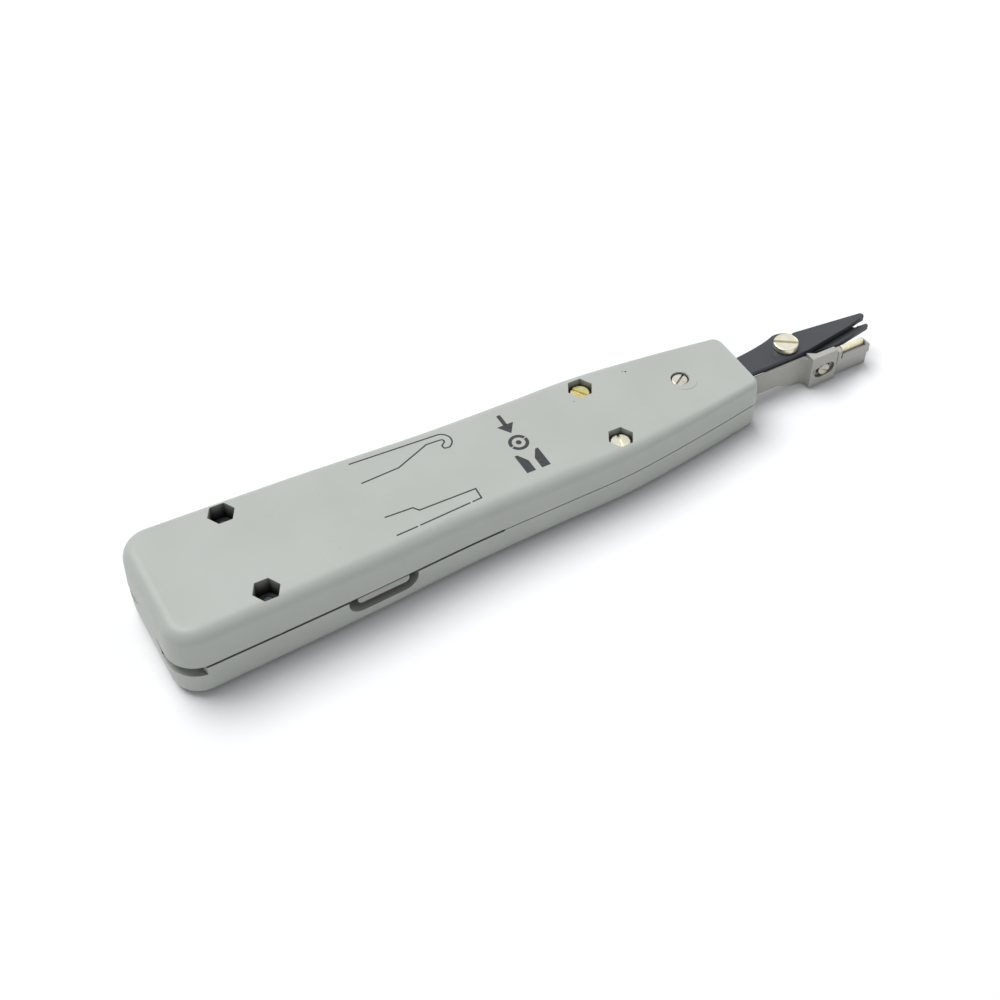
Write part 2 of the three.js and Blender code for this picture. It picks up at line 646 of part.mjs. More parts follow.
function foldPlate(shape, side) {
  const { x, y } = FOLD_PIVOT;
  return cut(plate(shape, FOLD.z0, FOLD.z1), disc(x, side * y, 2.05, -2, 2, 20));
}

// moulded fingernail tab under the lug, its outer face in line with the casing's side
function foldTab(side) {
  const width = TAB.x1 - TAB.x0;
  const radius = TAB.corner;
  const shape = new THREE.Shape();
  shape.moveTo(TAB.x0, TAB.z1);
  shape.lineTo(TAB.x0, TAB.z0 + radius);
  shape.absarc(TAB.x0 + radius, TAB.z0 + radius, radius, Math.PI, 1.5 * Math.PI, false);
  shape.absarc(TAB.x0 + width - radius, TAB.z0 + radius, radius, 1.5 * Math.PI, 2 * Math.PI, false);
  shape.lineTo(TAB.x1, TAB.z1);
  const outline = polygon([
    [TAB.x0 - 1, side * (15.55 - TAB.depth)], [TAB.x1 + 1, side * (15.1 - TAB.depth)],
    [TAB.x1 + 1, side * 15.1], [TAB.x0 - 1, side * 15.75],
  ]);
  return sidePlate(shape, -20, 20).intersect(plate(outline, -5, 5));
}

// ---- assembly -----------------------------------------------------------------------------

const FINISHES = {
  casing: { color: 0xc6c8c2, roughness: 0.55, metalness: 0 },
  cream: { color: 0xc9c8bd, roughness: 0.5, metalness: 0 },
  blackened: { color: 0x35383c, roughness: 0.45, metalness: 0.8 },
  nickel: { color: 0xd7d4be, roughness: 0.3, metalness: 1 },
  brass: { color: 0xc9b860, roughness: 0.3, metalness: 1 },
  steel: { color: 0xb8bbbd, roughness: 0.35, metalness: 1 },
};

const tool = new THREE.Group();
tool.rotation.y = TILT;
tool.position.z = PARTING_HEIGHT;

function place(name, finish, manifold) {
  const mesh = new THREE.Mesh(geometryOf(manifold), new THREE.MeshStandardMaterial(FINISHES[finish]));
  mesh.name = name;
  tool.add(mesh);
}

place('upper_casing', 'casing', upperCasing());
place('lower_casing', 'casing', lowerCasing());

for (const [label, side, finish, slotAngle] of [['far', 1, 'brass', -1.01], ['near', -1, 'nickel', 1.33]]) {
  const at = { ...CASING_SCREW, y: side * CASING_SCREW.y };
  place(`casing_screw_${label}`, finish, slottedScrew({ ...at, headHeight: 1.5, slotAngle }));
  place(`casing_nut_${label}`, 'nickel', hexNut(at.x, at.y, NUT, SHANK_R + CLEAR, ...CASING_SCREW.nutZ));
}

place('front_screw', 'nickel', slottedScrew({ ...FRONT_SCREW, headHeight: 1.4, slotAngle: 0.56 }));
place('front_nut', 'nickel', hexNut(
  FRONT_SCREW.x, FRONT_SCREW.y, FRONT_NUT.across, FRONT_SCREW.holeR, ...FRONT_NUT.z,
));
place('front_spacer', 'steel', sleeve(FRONT_SCREW.x, FRONT_SCREW.y, 1.55, FRONT_SCREW.holeR, 0.35, 2.95));

for (const [label, side] of [['hook', 1], ['knife', -1]]) {
  const at = { ...FOLD_PIVOT, y: side * FOLD_PIVOT.y };
  const bore = SHANK_R + CLEAR;
  place(`${label}_pivot_screw`, 'blackened', slottedScrew({ ...at, headHeight: 1.6, slotAngle: 0.5 }));
  place(`${label}_pivot_nut`, 'blackened', hexNut(at.x, at.y, NUT, bore, ...FOLD_PIVOT.nutZ));
  place(`${label}_pivot_bush`, 'brass', sleeve(at.x, at.y, BUSH.r, bore, -BUSH.z, BUSH.z));
  place(`${label}_spring_washer`, 'steel', sleeve(at.x, at.y, SPRING_WASHER.r, bore, ...SPRING_WASHER.z));
  place(`${label}_tab`, 'casing', foldTab(side));
}
place('release_hook', 'steel', releaseHook());
place('knife_blade', 'steel', knifeBlade());

place('ram_plate', 'blackened', ramPlate());
place('ram_carriage', 'steel', ramCarriage());
RIVET_X.forEach((x, i) => place(`ram_rivet_${i + 1}`, 'steel', rivet(x)));
place('guide_rod', 'steel', bar(0, SPRING_AXIS_Z, GUIDE_ROD.r, GUIDE_ROD.x0, GUIDE_ROD.x1));
place('main_spring', 'steel', coil(MAIN_SPRING));
place('spring_seat', 'steel', cut(
  bar(0, SPRING_AXIS_Z, 4.6, SPRING_SEAT_X - 2, SPRING_SEAT_X, 24),
  bar(0, SPRING_AXIS_Z, 1.5, SPRING_SEAT_X - 3, SPRING_SEAT_X + 1),
));

place('scissor_blade', 'blackened', scissorBlade());
place('scissor_pivot_screw', 'nickel', slottedScrew({ ...SCISSOR_PIVOT, headHeight: 1.4, slotAngle: -0.61 }));
place('scissor_pivot_nut', 'blackened', hexNut(
  SCISSOR_PIVOT.x, SCISSOR_PIVOT.y, 5, SHANK_R + CLEAR, ...SCISSOR_PIVOT.nutZ,
));
place('scissor_cam_pin', 'steel', disc(CAM_PIN.x, CAM_PIN.y, CAM_PIN.r, CAM_PIN.z0, CAM_PIN.z1, 16));

place('sensor_arm', 'cream', sensorArm());
place('sensor_shoe', 'cream', sensorShoe());
place('sensor_strip', 'brass', sensorStrip());
place('sensor_screw', 'nickel', sensorScrew());
place('sensor_spring', 'steel', coil(SENSOR_SPRING));

export default tool;
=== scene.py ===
"""Fine surfaces, materials, light and camera for the insertion tool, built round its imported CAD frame.

Shapes are drawn in millimetres in the tool's own frame, as in the CAD source: x along the tool,
z = 0 on the plane where the casing halves meet. TOOL carries them into the shared frame in metres.
"""

import json
import math

import bmesh
import bpy
from mathutils import Matrix, Vector


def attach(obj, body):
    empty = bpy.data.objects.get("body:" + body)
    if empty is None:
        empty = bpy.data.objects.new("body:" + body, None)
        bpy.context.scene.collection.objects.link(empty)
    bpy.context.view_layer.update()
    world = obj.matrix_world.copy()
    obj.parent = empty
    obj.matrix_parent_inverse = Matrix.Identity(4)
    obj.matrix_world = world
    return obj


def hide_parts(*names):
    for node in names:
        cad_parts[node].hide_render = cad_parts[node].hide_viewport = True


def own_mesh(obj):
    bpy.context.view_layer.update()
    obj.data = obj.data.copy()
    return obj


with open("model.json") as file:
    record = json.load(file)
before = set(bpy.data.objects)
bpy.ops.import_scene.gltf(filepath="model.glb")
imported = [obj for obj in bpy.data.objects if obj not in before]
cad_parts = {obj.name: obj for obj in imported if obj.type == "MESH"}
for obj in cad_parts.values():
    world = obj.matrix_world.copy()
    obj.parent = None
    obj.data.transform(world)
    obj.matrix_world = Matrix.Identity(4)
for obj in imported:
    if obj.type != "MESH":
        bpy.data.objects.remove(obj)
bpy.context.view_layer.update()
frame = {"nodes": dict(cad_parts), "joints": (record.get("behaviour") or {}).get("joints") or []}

# ---- the tool's frame ---------------------------------------------------------------------

JOINTS = {j["name"]: j for j in frame["joints"]}
TILT = math.asin(JOINTS["head_slide"]["axis"][2])
fold_x, _, fold_z = (1000 * v for v in JOINTS["knife_fold"]["pos_m"])
PARTING_HEIGHT = fold_z + fold_x * math.tan(TILT)
TOOL = Matrix.Scale(0.001, 4) @ Matrix.Translation((0, 0, PARTING_HEIGHT)) @ Matrix.Rotation(TILT, 4, "Y")
INTO_TOOL = TOOL.inverted()
SIDES = {"far": 1, "near": -1}


def local_box(node):
    """Lowest and highest corner of a CAD node in the tool's frame, in millimetres."""
    points = [INTO_TOOL @ v.co for v in frame["nodes"][node].data.vertices]
    low = Vector(min(p[i] for p in points) for i in range(3))
    high = Vector(max(p[i] for p in points) for i in range(3))
    return low, high


def centre(node):
    """Middle of a CAD node in the tool's frame."""
    low, high = local_box(node)
    return (low + high) / 2


REAR_X = local_box("upper_casing")[0].x
FRONT_X = local_box("upper_casing")[1].x
REAR_HALF_WIDTH = local_box("upper_casing")[1].y - 0.01
WALL = 2.2
REAR_FILLET = 3.0
NOSE_FILLET = 1.3
SEAM = 0.12  # gap between the halves
DRAFT = 0.25
REAR_CORNER = 7.0
FRONT_CORNER = 2.8
# half-width of the casing along its length
SIDE = [(-50, 15.9), (-22, 14.5), (0, 14.2), (18, 13.8), (37, 11.6), (FRONT_X - FRONT_CORNER, 9.4)]
CASING_SCREW = centre("casing_screw_far")
FRONT_SCREW = centre("front_screw")
FOLD_PIVOT = centre("hook_pivot_screw")
SCISSOR_PIVOT = centre("scissor_pivot_screw")
TIP_X = local_box("ram_plate")[1].x - 0.01
FOLD_SLOT = {"half": 0.32, "inner": 5.2, "front": -15}


def fillet(x):
    """Radius of the casing's long edges, which gets smaller towards the nose."""
    share = min(1, max(0, x / FRONT_X))
    return REAR_FILLET + (NOSE_FILLET - REAR_FILLET) * share


def upper_height(x):
    """Level of the upper half's outer face over the parting plane."""
    return 7.65 - 0.024 * x


def lower_height(x):
    """Depth of the lower half's outer face, which lies flat on the table."""
    return (PARTING_HEIGHT - math.sin(TILT) * x) / math.cos(TILT)


# ---- outlines -----------------------------------------------------------------------------


def arc(cx, cy, radius, start, end, steps):
    """Points on a circle from one angle to another, in radians."""
    angles = [start + (end - start) * i / steps for i in range(steps + 1)]
    return [(cx + radius * math.cos(a), cy + radius * math.sin(a)) for a in angles]


def spline(points, steps):
    """Catmull-Rom curve through points, without its first point."""
    ends = [points[0], *points, points[-1]]
    curve = []
    for a, b, c, d in zip(ends, ends[1:], ends[2:], ends[3:]):
        for i in range(1, steps + 1):
            t = i / steps
            curve.append(tuple(catmull_rom(t, *values) for values in zip(a, b, c, d)))
    return curve


def catmull_rom(t, a, b, c, d):
    v0 = (c - a) / 2
    v1 = (d - b) / 2
    return (2 * b - 2 * c + v0 + v1) * t**3 + (-3 * b + 3 * c - 2 * v0 - v1) * t**2 + v0 * t + b


def bezier(start, control, end, steps):
    """Quadratic curve, without its first point."""
    return [
        tuple(s * (1 - t) ** 2 + 2 * c * t * (1 - t) + e * t * t for s, c, e in zip(start, control, end))
        for t in (i / steps for i in range(1, steps + 1))
    ]


def offset(loop, inset):
    """A closed counter-clockwise outline moved inwards, by a length or by a function of x."""
    moved = []
    for i, p in enumerate(loop):
        before = (Vector(p) - Vector(loop[i - 1])).normalized()
        after = (Vector(loop[(i + 1) % len(loop)]) - Vector(p)).normalized()
        along = (before + after).normalized()
        amount = inset(p[0]) if callable(inset) else inset
        reach = amount / max(0.5, along.dot(after))
        moved.append((p[0] - along.y * reach, p[1] + along.x * reach))
    return moved


def without_doubles(loop):
    return [p for i, p in enumerate(loop) if (Vector(p) - Vector(loop[i - 1])).length > 0.005]


def counter_clockwise(loop):
    area = sum(a[0] * b[1] - b[0] * a[1] for a, b in zip(loop, loop[1:] + loop[:1]))
    return loop if area > 0 else loop[::-1]


def casing_outline(inset):
    """Outline of the casing seen from above, moved inwards."""
    corner_y = REAR_HALF_WIDTH - REAR_CORNER
    far = arc(REAR_X + REAR_CORNER, corner_y, REAR_CORNER, math.pi, math.pi / 2, 14)
    far += spline([far[-1], *SIDE], 12)
    front_x, front_y = SIDE[-1]
    far += arc(front_x, front_y - FRONT_CORNER, FRONT_CORNER, math.pi / 2, 0, 10)
    near = [(x, -y) for x, y in far]
    return offset(without_doubles(near + far[::-1]), inset)


def span(side, inner, outer):
    """Lower and higher y of a stretch between two distances from the middle, on one side."""
    return sorted((side * inner, side * outer))


def circle(x, y, radius, steps=48):
    return arc(x, y, radius, 0, 2 * math.pi, steps)[:-1]


def hexagon(x, y, across_flats):
    return circle(x, y, across_flats / math.sqrt(3), 6)


# ---- solids in mesh code ------------------------------------------------------------------


def loft(rings):
    """A closed skin over rings with equal numbers of points, lowest ring first."""
    bm = bmesh.new()
    rows = [[bm.verts.new(p) for p in ring] for ring in rings]
    for low, high in zip(rows, rows[1:]):
        for i in range(len(low)):
            j = (i + 1) % len(low)
            bm.faces.new((low[i], low[j], high[j], high[i]))
    bm.faces.new(list(reversed(rows[0])))
    bm.faces.new(rows[-1])
    return bm


def level(loop, z):
    """An outline at a height, which may be a function of x."""
    return [(x, y, z(x) if callable(z) else z) for x, y in loop]


def prism(outline, z0, z1, edge=0.0, steps=3):
    """An outline given height, its top and bottom edges rounded by edge."""
    loop = without_doubles(counter_clockwise(list(outline)))
    if not edge:
        return loft([level(loop, z0), level(loop, z1)])
    turns = [math.pi / 2 * i / steps for i in range(steps + 1)]
    below = [(edge * (1 - math.sin(a)), z0 + edge * (1 - math.cos(a))) for a in turns]
    above = [(edge * (1 - math.cos(a)), z1 - edge * (1 - math.sin(a))) for a in turns]
    hold = min(0.04, edge / 4)
    sections = [(edge + hold, z0), *below, *above, (edge + hold, z1)]
    return loft([level(offset(loop, inset), z) for inset, z in sections])


def turned(x, y, profile, steps=48):
    """A solid turned about z. The profile is (radius, z) pairs from its lowest face to its highest."""
    return loft([level(circle(x, y, radius, steps), z) for radius, z in profile])


def chamfered(radius, z0, z1, edge):
    return [(radius - edge, z0), (radius, z0 + edge), (radius, z1 - edge), (radius - edge, z1)]


def block(x0, x1, y0, y1, z0, z1, edge=0.0):
    return prism([(x0, y0), (x1, y0), (x1, y1), (x0, y1)], z0, z1, edge)


def side_prism(outline_xz, y0, y1):
    """An outline in x and z, given width along y."""
    bm = prism(outline_xz, -y1, -y0)
    bm.transform(Matrix.Rotation(math.pi / 2, 4, "X"))
    return bm


def soften(bm, width, degrees=35, segments=2):
    """Rounds every edge that turns by more than the given angle."""
    bmesh.ops.dissolve_limit(bm, angle_limit=math.radians(0.4), verts=bm.verts, edges=bm.edges)
    sharp = [e for e in bm.edges if e.is_manifold and e.calc_face_angle(0) > math.radians(degrees)]
    bmesh.ops.bevel(
        bm, geom=sharp, offset=width, offset_type="OFFSET", segments=segments, profile=0.5,
        affect="EDGES", clamp_overlap=True,
    )
    return bm


def temporary(bm):
    bmesh.ops.recalc_face_normals(bm, faces=bm.faces)
    mesh = bpy.data.meshes.new("temporary")
    bm.to_mesh(mesh)
    bm.free()
    obj = bpy.data.objects.new("temporary", mesh)
    bpy.context.scene.collection.objects.link(obj)
    return obj


def combine(base, others, operation):
    """Exact boolean of one solid with several, as a new mesh."""
    if not others:
        return base
    target = temporary(base)
    tools = [temporary(bm) for bm in others]
    for tool in tools:
        modifier = target.modifiers.new("cut", "BOOLEAN")
        modifier.operation = operation
        modifier.solver = "EXACT"
        modifier.object = tool
    result = bmesh.new()
    result.from_object(target, bpy.context.evaluated_depsgraph_get())
    for obj in [target, *tools]:
        mesh = obj.data
        bpy.data.objects.remove(obj)
        bpy.data.meshes.remove(mesh)
    bmesh.ops.remove_doubles(result, verts=result.verts, dist=1e-5)
    bmesh.ops.dissolve_degenerate(result, edges=result.edges, dist=1e-5)
    return result


def cut(base, *tools):
    return combine(base, tools, "DIFFERENCE")


def join(base, *others):
    return combine(base, others, "UNION")


def common(base, *others):
    return combine(base, others, "INTERSECT")


SHARP_EDGE = math.radians(32)


def piece(name, bm, body, look, stands_for=()):
    """Makes a solid an object of the model, riding on its body, in the material of its look."""
    bmesh.ops.recalc_face_normals(bm, faces=bm.faces)
    for face in bm.faces:
        face.smooth = True
    for edge in bm.edges:
        edge.smooth = edge.calc_face_angle(0) < SHARP_EDGE
    bm.transform(TOOL)
    mesh = bpy.data.meshes.new(name)
    bm.to_mesh(mesh)
    bm.free()
    obj = bpy.data.objects.new(name, mesh)
    bpy.context.scene.collection.objects.link(obj)
    normals = obj.modifiers.new("face_weighted_normals", "WEIGHTED_NORMAL")
    normals.keep_sharp = True
    normals.weight = 100
    material, slot_name = LOOKS[look]
    mesh.materials.append(material)
    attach(obj, body)
    if stands_for:
        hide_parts(*stands_for)
    return obj


def stand_in(node, bm, body, look):
    """A fine piece that takes the place of a CAD node."""
    return piece(f"fine_{node}", bm, body, look, stands_for=(node,))


# ---- materials ----------------------------------------------------------------------------


class Nodes:
    """Short names for the shader nodes that the materials share. Texture space is in millimetres."""

    def __init__(self, name):
        self.material = bpy.data.materials.new(name)
        self.material.use_nodes = True
        self.tree = self.material.node_tree
        self.shader = self.tree.nodes["Principled BSDF"]
        coordinates = self.new("ShaderNodeTexCoord")
        self.space = self.mapped(coordinates.outputs["Object"], (1000, 1000, 1000))

    def new(self, kind, **values):
        node = self.tree.nodes.new(kind)
        for key, value in values.items():
            setattr(node, key, value)
        return node

    def link(self, a, b):
        self.tree.links.new(a, b)

    def mapped(self, source, scale):
        node = self.new("ShaderNodeMapping")
        node.inputs["Scale"].default_value = scale
        self.link(source, node.inputs["Vector"])
        return node.outputs["Vector"]

    def noise(self, scale, detail=3.0, rough=0.5, stretch=(1, 1, 1)):
        node = self.new("ShaderNodeTexNoise")
        node.inputs["Scale"].default_value = scale
        node.inputs["Detail"].default_value = detail
        node.inputs["Roughness"].default_value = rough
        self.link(self.mapped(self.space, stretch), node.inputs["Vector"])
        return node.outputs["Fac"]

    def ranged(self, fac, low, high, to_low=0.0, to_high=1.0):
        node = self.new("ShaderNodeMapRange")
        self.link(fac, node.inputs["Value"])
        for key, value in (("From Min", low), ("From Max", high), ("To Min", to_low), ("To Max", to_high)):
            node.inputs[key].default_value = value
        return node.outputs["Result"]

    def worn_edges(self, low, high):
        return self.ranged(self.new("ShaderNodeNewGeometry").outputs["Pointiness"], low, high)

    def times(self, a, b):
        node = self.new("ShaderNodeMath", operation="MULTIPLY")
        for source, socket in zip((a, b), node.inputs):
            if isinstance(source, float):
                socket.default_value = source
            else:
                self.link(source, socket)
        return node.outputs[0]

    def mix(self, fac, a, b):
        node = self.new("ShaderNodeMix", data_type="RGBA")
        self.link(fac, node.inputs["Factor"])
        for source, socket in ((a, node.inputs[6]), (b, node.inputs[7])):
            if isinstance(source, tuple):
                socket.default_value = (*source, 1)
            else:
                self.link(source, socket)
        return node.outputs[2]

    def near_fold_pivots(self, full, none):
        """1 within the first radius of either fold pivot's axis, 0 beyond the second."""
        mirrored = self.new("ShaderNodeVectorMath", operation="ABSOLUTE")
        self.link(self.space, mirrored.inputs[0])
        flat = self.new("ShaderNodeVectorMath", operation="MULTIPLY")
        self.link(mirrored.outputs[0], flat.inputs[0])
        flat.inputs[1].default_value = (1, 1, 0)
        distance = self.new("ShaderNodeVectorMath", operation="DISTANCE")
        self.link(flat.outputs[0], distance.inputs[0])
        distance.inputs[1].default_value = (-FOLD_PIVOT.x, abs(FOLD_PIVOT.y), 0)
        return self.ranged(distance.outputs["Value"], full, none, 1.0, 0.0)

    def bump(self, height, strength, distance):
        node = self.new("ShaderNodeBump")
        node.inputs["Strength"].default_value = strength
        node.inputs["Distance"].default_value = distance
        self.link(height, node.inputs["Height"])
        self.link(node.outputs["Normal"], self.shader.inputs["Normal"])

    def finish(self, color, roughness, metallic=0.0, **constants):
        self.link(color, self.shader.inputs["Base Color"])
        self.link(roughness, self.shader.inputs["Roughness"])
        self.shader.inputs["Metallic"].default_value = metallic
        for key, value in constants.items():
            self.shader.inputs[key.replace("_", " ")].default_value = value
        return self.material


def moulded_plastic(name, base, shade, gloss=0.44):
    """Satin moulded plastic: faint cloudiness, fine grain, handling marks, painted shade in the recesses and
    a painted near-black shadow in the wells round the fold pivots.
    """
    n = Nodes(name)
    recess = n.new("ShaderNodeAmbientOcclusion", samples=6)
    recess.inputs["Distance"].default_value = 0.0035
    cloud = n.ranged(n.noise(0.06, 4), 0.35, 0.7)
    color = n.mix(cloud, base, shade)
    grime = n.ranged(n.noise(0.9, 6, 0.7), 0.66, 0.78, 0.0, 0.35)
    color = n.mix(grime, color, tuple(0.78 * c for c in shade))
    # painted shade: the colour goes towards near black where ambient occlusion finds a recess, standing in
    # for the shade that falls there
    painted_recess_shade = n.ranged(recess.outputs["AO"], 0.25, 0.72, 0.92, 0.0)
    color = n.mix(painted_recess_shade, color, (0.085, 0.082, 0.072))
    # painted shadow: near black painted on the walls of the wells round the fold pivots, where ambient
    # occlusion finds a hollow
    painted_well_shadow = n.times(n.near_fold_pivots(3.05, 3.25), n.ranged(recess.outputs["AO"], 0.55, 0.95, 1.0, 0.0))
    color = n.mix(painted_well_shadow, color, (0.022, 0.019, 0.015))
    speck = n.ranged(n.noise(2.6, 2, 0.4), 0.795, 0.82)
    color = n.mix(speck, color, (0.10, 0.09, 0.08))
    scuffs = n.noise(0.5, 5, 0.6, stretch=(0.6, 6, 1))
    roughness = n.ranged(scuffs, 0.3, 0.75, gloss - 0.06, gloss + 0.1)
    n.bump(n.noise(5.0, 3, 0.6), 0.12, 0.00004)
    return n.finish(color, roughness, Specular_IOR_Level=0.45)


def black_oxide(name):
    """Ground steel plates under black oxide, rubbed bright along the edges."""
    n = Nodes(name)
    grain = n.noise(0.7, 5, 0.65, stretch=(0.25, 7, 7))
    color = n.mix(n.ranged(grain, 0.3, 0.7), (0.060, 0.064, 0.071), (0.073, 0.077, 0.084))
    worn = n.times(n.worn_edges(0.57, 0.66), n.ranged(n.noise(1.4, 4), 0.4, 0.65))
    color = n.mix(worn, color, (0.24, 0.24, 0.25))
    roughness = n.ranged(grain, 0.3, 0.7, 0.42, 0.5)
    n.bump(grain, 0.06, 0.00002)
    return n.finish(color, roughness, 0.55)


def plated(name, base, stain, gloss, grain_stretch=(1, 1, 1)):
    """Plated, turned or ground metal with faint tarnish and tool marks."""
    n = Nodes(name)
    tarnish = n.ranged(n.noise(0.45, 4, 0.5), 0.45, 0.75)
    color = n.mix(tarnish, base, stain)
    marks = n.noise(0.9, 3, 0.5, stretch=grain_stretch)
    roughness = n.ranged(marks, 0.3, 0.7, gloss, gloss + 0.08)
    n.bump(marks, 0.012, 0.00002)
    return n.finish(color, roughness, 1.0)


def printed_ink(name):
    n = Nodes(name)
    color = n.mix(n.ranged(n.noise(3.0, 4), 0.4, 0.7), (0.022, 0.023, 0.027), (0.05, 0.051, 0.055))
    roughness = n.ranged(n.noise(4.0, 3), 0.3, 0.7, 0.4, 0.55)
    n.bump(n.noise(6.0, 2), 0.1, 0.00002)
    return n.finish(color, roughness)


# each look is a material and the record's slot that it belongs to
LOOKS = {
    "casing": (moulded_plastic("casing_plastic", (0.447, 0.466, 0.433), (0.420, 0.438, 0.404)), "casing"),
    "tab": (moulded_plastic("tab_plastic", (0.40, 0.40, 0.372), (0.37, 0.37, 0.34)), "casing"),
    "cream": (
        moulded_plastic("cream_plastic", (0.415, 0.41, 0.375), (0.37, 0.362, 0.322), 0.38),
        "sensor_plastic",
    ),
    "black": (black_oxide("black_oxide"), "blackened_steel"),
    "nickel": (plated("nickel_plate", (0.86, 0.83, 0.68), (0.76, 0.71, 0.54), 0.36), "nickel"),
    "dull_nickel": (plated("dull_nickel_plate", (0.66, 0.63, 0.55), (0.52, 0.48, 0.39), 0.42), "nickel"),
    "brass": (plated("turned_brass", (0.83, 0.75, 0.36), (0.62, 0.52, 0.22), 0.34), "brass"),
    "pale_brass": (plated("strip_brass", (0.86, 0.81, 0.60), (0.70, 0.64, 0.42), 0.36), "brass"),
    "steel": (
        plated("ground_steel", (0.205, 0.209, 0.218), (0.175, 0.178, 0.185), 0.36, (0.3, 5, 5)),
        "steel",
    ),
    "ink": (printed_ink("printing_ink"), "casing"),
}

# ---- casing -------------------------------------------------------------------------------

OUTSIDE = 20  # a level past either skin
OUTSIDE_Y = 18  # past the casing's side
# radii of the holes and round pockets
SCREW_HOLE = 1.4
FRONT_HOLE = 1.15
FRONT_POCKET = 2.05
HEAD_POCKET = 2.6
BUSH_HOLE = 2.05
SCISSOR_HOLE = 1.45
# hexagon pockets, across flats
HEX_POCKET = 5.2
FRONT_NUT_POCKET = 4.2
# how far the pockets' floors lie from the parting plane
UPPER_FLOOR = {"casing": 4.1, "fold": 3.0, "front": 4.7}
LOWER_FLOOR = {"casing": 4.1, "fold": 7.0, "front": 4.3}
CASING_BOSS = 4.2
FOLD_EYE = 4.6
WASHER_RECESS = {"radius": 4.2, "depth": 1.0}
GUIDE_RAIL = {"x0": -14.5, "x1": 11, "y": 8.4, "half": 0.6}
SPRING_STOP = {"x0": -48.4, "x1": -46.3, "half": 5}
ROD_SLOT = {"half": 1.8, "bottom": -2.4, "top": 1.8}
SENSOR_RIBS = [(21.3, 23.3, -12, -4.6), (35.4, 36.8, -9, -4.9)]
POCKET_BACKING = {"x0": -54, "x1": -34.5, "inner": 11.4, "outer": 14.5, "top": -0.4}
CAM_POST = {"x": 50.8, "y": 3.9, "radius": 1.6, "hole": 0.95}
NOSE_OPENING = {"x0": 46, "near": -4.1, "far": 4.6, "bottom": -4.6, "top": 3.2}
TAB_GROOVE = {"outer": 31, "inner": 17, "depth": 2.5, "y": 7.2, "front": -79}


def half_form(sign, sections):
    """Solid of a casing half from sections, each an inset (number or function of x) and a height over x."""
    rings = [level(casing_outline(inset), lambda x, f=height: sign * f(x)) for inset, height in sections]
    return loft(rings if sign > 0 else rings[::-1])


def outer_form(sign, height, under=0.0):
    """Outside of a casing half, with a broken seam edge and a round top edge, moved inwards by under."""
    edge = 0.2
    sections = [
        (edge + under, lambda x: SEAM / 2),
        (edge * 0.3 + under, lambda x: SEAM / 2 + edge * 0.3),
        (under, lambda x: SEAM / 2 + edge),
        (DRAFT * 0.95 + under, lambda x: height(x) - fillet(x) - 0.3 - under),
    ]
    steps = 9
    for i in range(steps + 1):
        a = math.pi / 2 * i / steps
        sections.append((
            lambda x, a=a: DRAFT + under + fillet(x) * (1 - math.cos(a)),
            lambda x, a=a: height(x) - under - fillet(x) * (1 - math.sin(a)),
        ))
    sections.append((lambda x: DRAFT + under + fillet(x) + 0.08, lambda x: height(x) - under))
    return half_form(sign, sections)


def cavity_form(sign, height):
    cove = 0.3
    return half_form(sign, [
        (WALL, lambda x: -1.0),
        (WALL + DRAFT, lambda x: height(x) - WALL - cove),
        (WALL + DRAFT + cove * 0.3, lambda x: height(x) - WALL - cove * 0.3),
        (WALL + DRAFT + cove, lambda x: height(x) - WALL),
    ])


def well(outline_at, sign, height, floor, rim=0.22):
    """A pocket let in from outside, its rim rounded over where it meets the skin."""
    x = outline_at(0)[0][0]
    skin = height(x)
    sections = [(0.0, floor), (0.0, skin - rim), (-rim * 0.3, skin - rim * 0.3)]
    sections += [(-rim, skin + 0.02), (-rim, skin + 4)]
    slope = (height(x + 1) - height(x - 1)) / 2
    rings = []
    for inset, z in sections:
        lean = slope if z > floor else 0.0
        rings.append([(px, py, sign * (z + lean * (px - x))) for px, py in outline_at(inset)])
    return loft(rings if sign > 0 else rings[::-1])


def hex_well(x, y, across_flats, sign, height, floor):
    return well(lambda inset: hexagon(x, y, across_flats - 2 * inset), sign, height, floor)


def round_well(x, y, radius, sign, height, floor):
    return well(lambda inset: circle(x, y, radius - inset, 40), sign, height, floor, rim=0.15)


def column(x, y, radius, sign, start):
    """A post from a level of a casing half out past its skin."""
    return prism(circle(x, y, radius, 40), *span(sign, start, OUTSIDE))


def screw_hole(x, y, radius):
    return prism(circle(x, y, radius, 24), -OUTSIDE, OUTSIDE)


def guide_rail(side):
    x0, x1, y, half = GUIDE_RAIL.values()
    return block(x0, x1, side * y - half, side * y + half, -OUTSIDE, OUTSIDE)


def spring_stop():
    x0, x1, half = SPRING_STOP.values()
    rod_half, bottom, top = ROD_SLOT.values()
    wall = block(x0, x1, -half, half, -OUTSIDE, OUTSIDE)
    return cut(wall, block(x0 - 0.6, x1 + 0.3, -rod_half, rod_half, bottom, top))


def pocket_backing(side):
    x0, x1, inner, outer, top = POCKET_BACKING.values()
    return block(x0, x1, *span(side, inner, outer), -OUTSIDE, top)


def bosses(sign, height):
    """Screw posts and ribs of a casing half, ending within its skin."""
    inside = outer_form(sign, height, 0.5)
    sides = SIDES.values()
    fold_start = 1.0 if sign > 0 else 0.4
    front_radius, front_start = (3.1, 3.1) if sign > 0 else (2.7, SEAM / 2)
    parts = [column(CASING_SCREW.x, side * CASING_SCREW.y, CASING_BOSS, sign, SEAM / 2) for side in sides]
    parts += [column(FOLD_PIVOT.x, side * FOLD_PIVOT.y, FOLD_EYE, sign, fold_start) for side in sides]
    parts += [guide_rail(side) for side in sides]
    parts.append(spring_stop())
    parts += [block(*rib, -OUTSIDE, OUTSIDE) for rib in SENSOR_RIBS]
    parts.append(column(FRONT_SCREW.x, FRONT_SCREW.y, front_radius, sign, front_start))
    if sign < 0:
        parts.append(prism(circle(CAM_POST["x"], CAM_POST["y"], CAM_POST["radius"], 32), -OUTSIDE, -0.5))
        parts += [pocket_backing(side) for side in sides]
    return [common(part, inside.copy()) for part in parts]


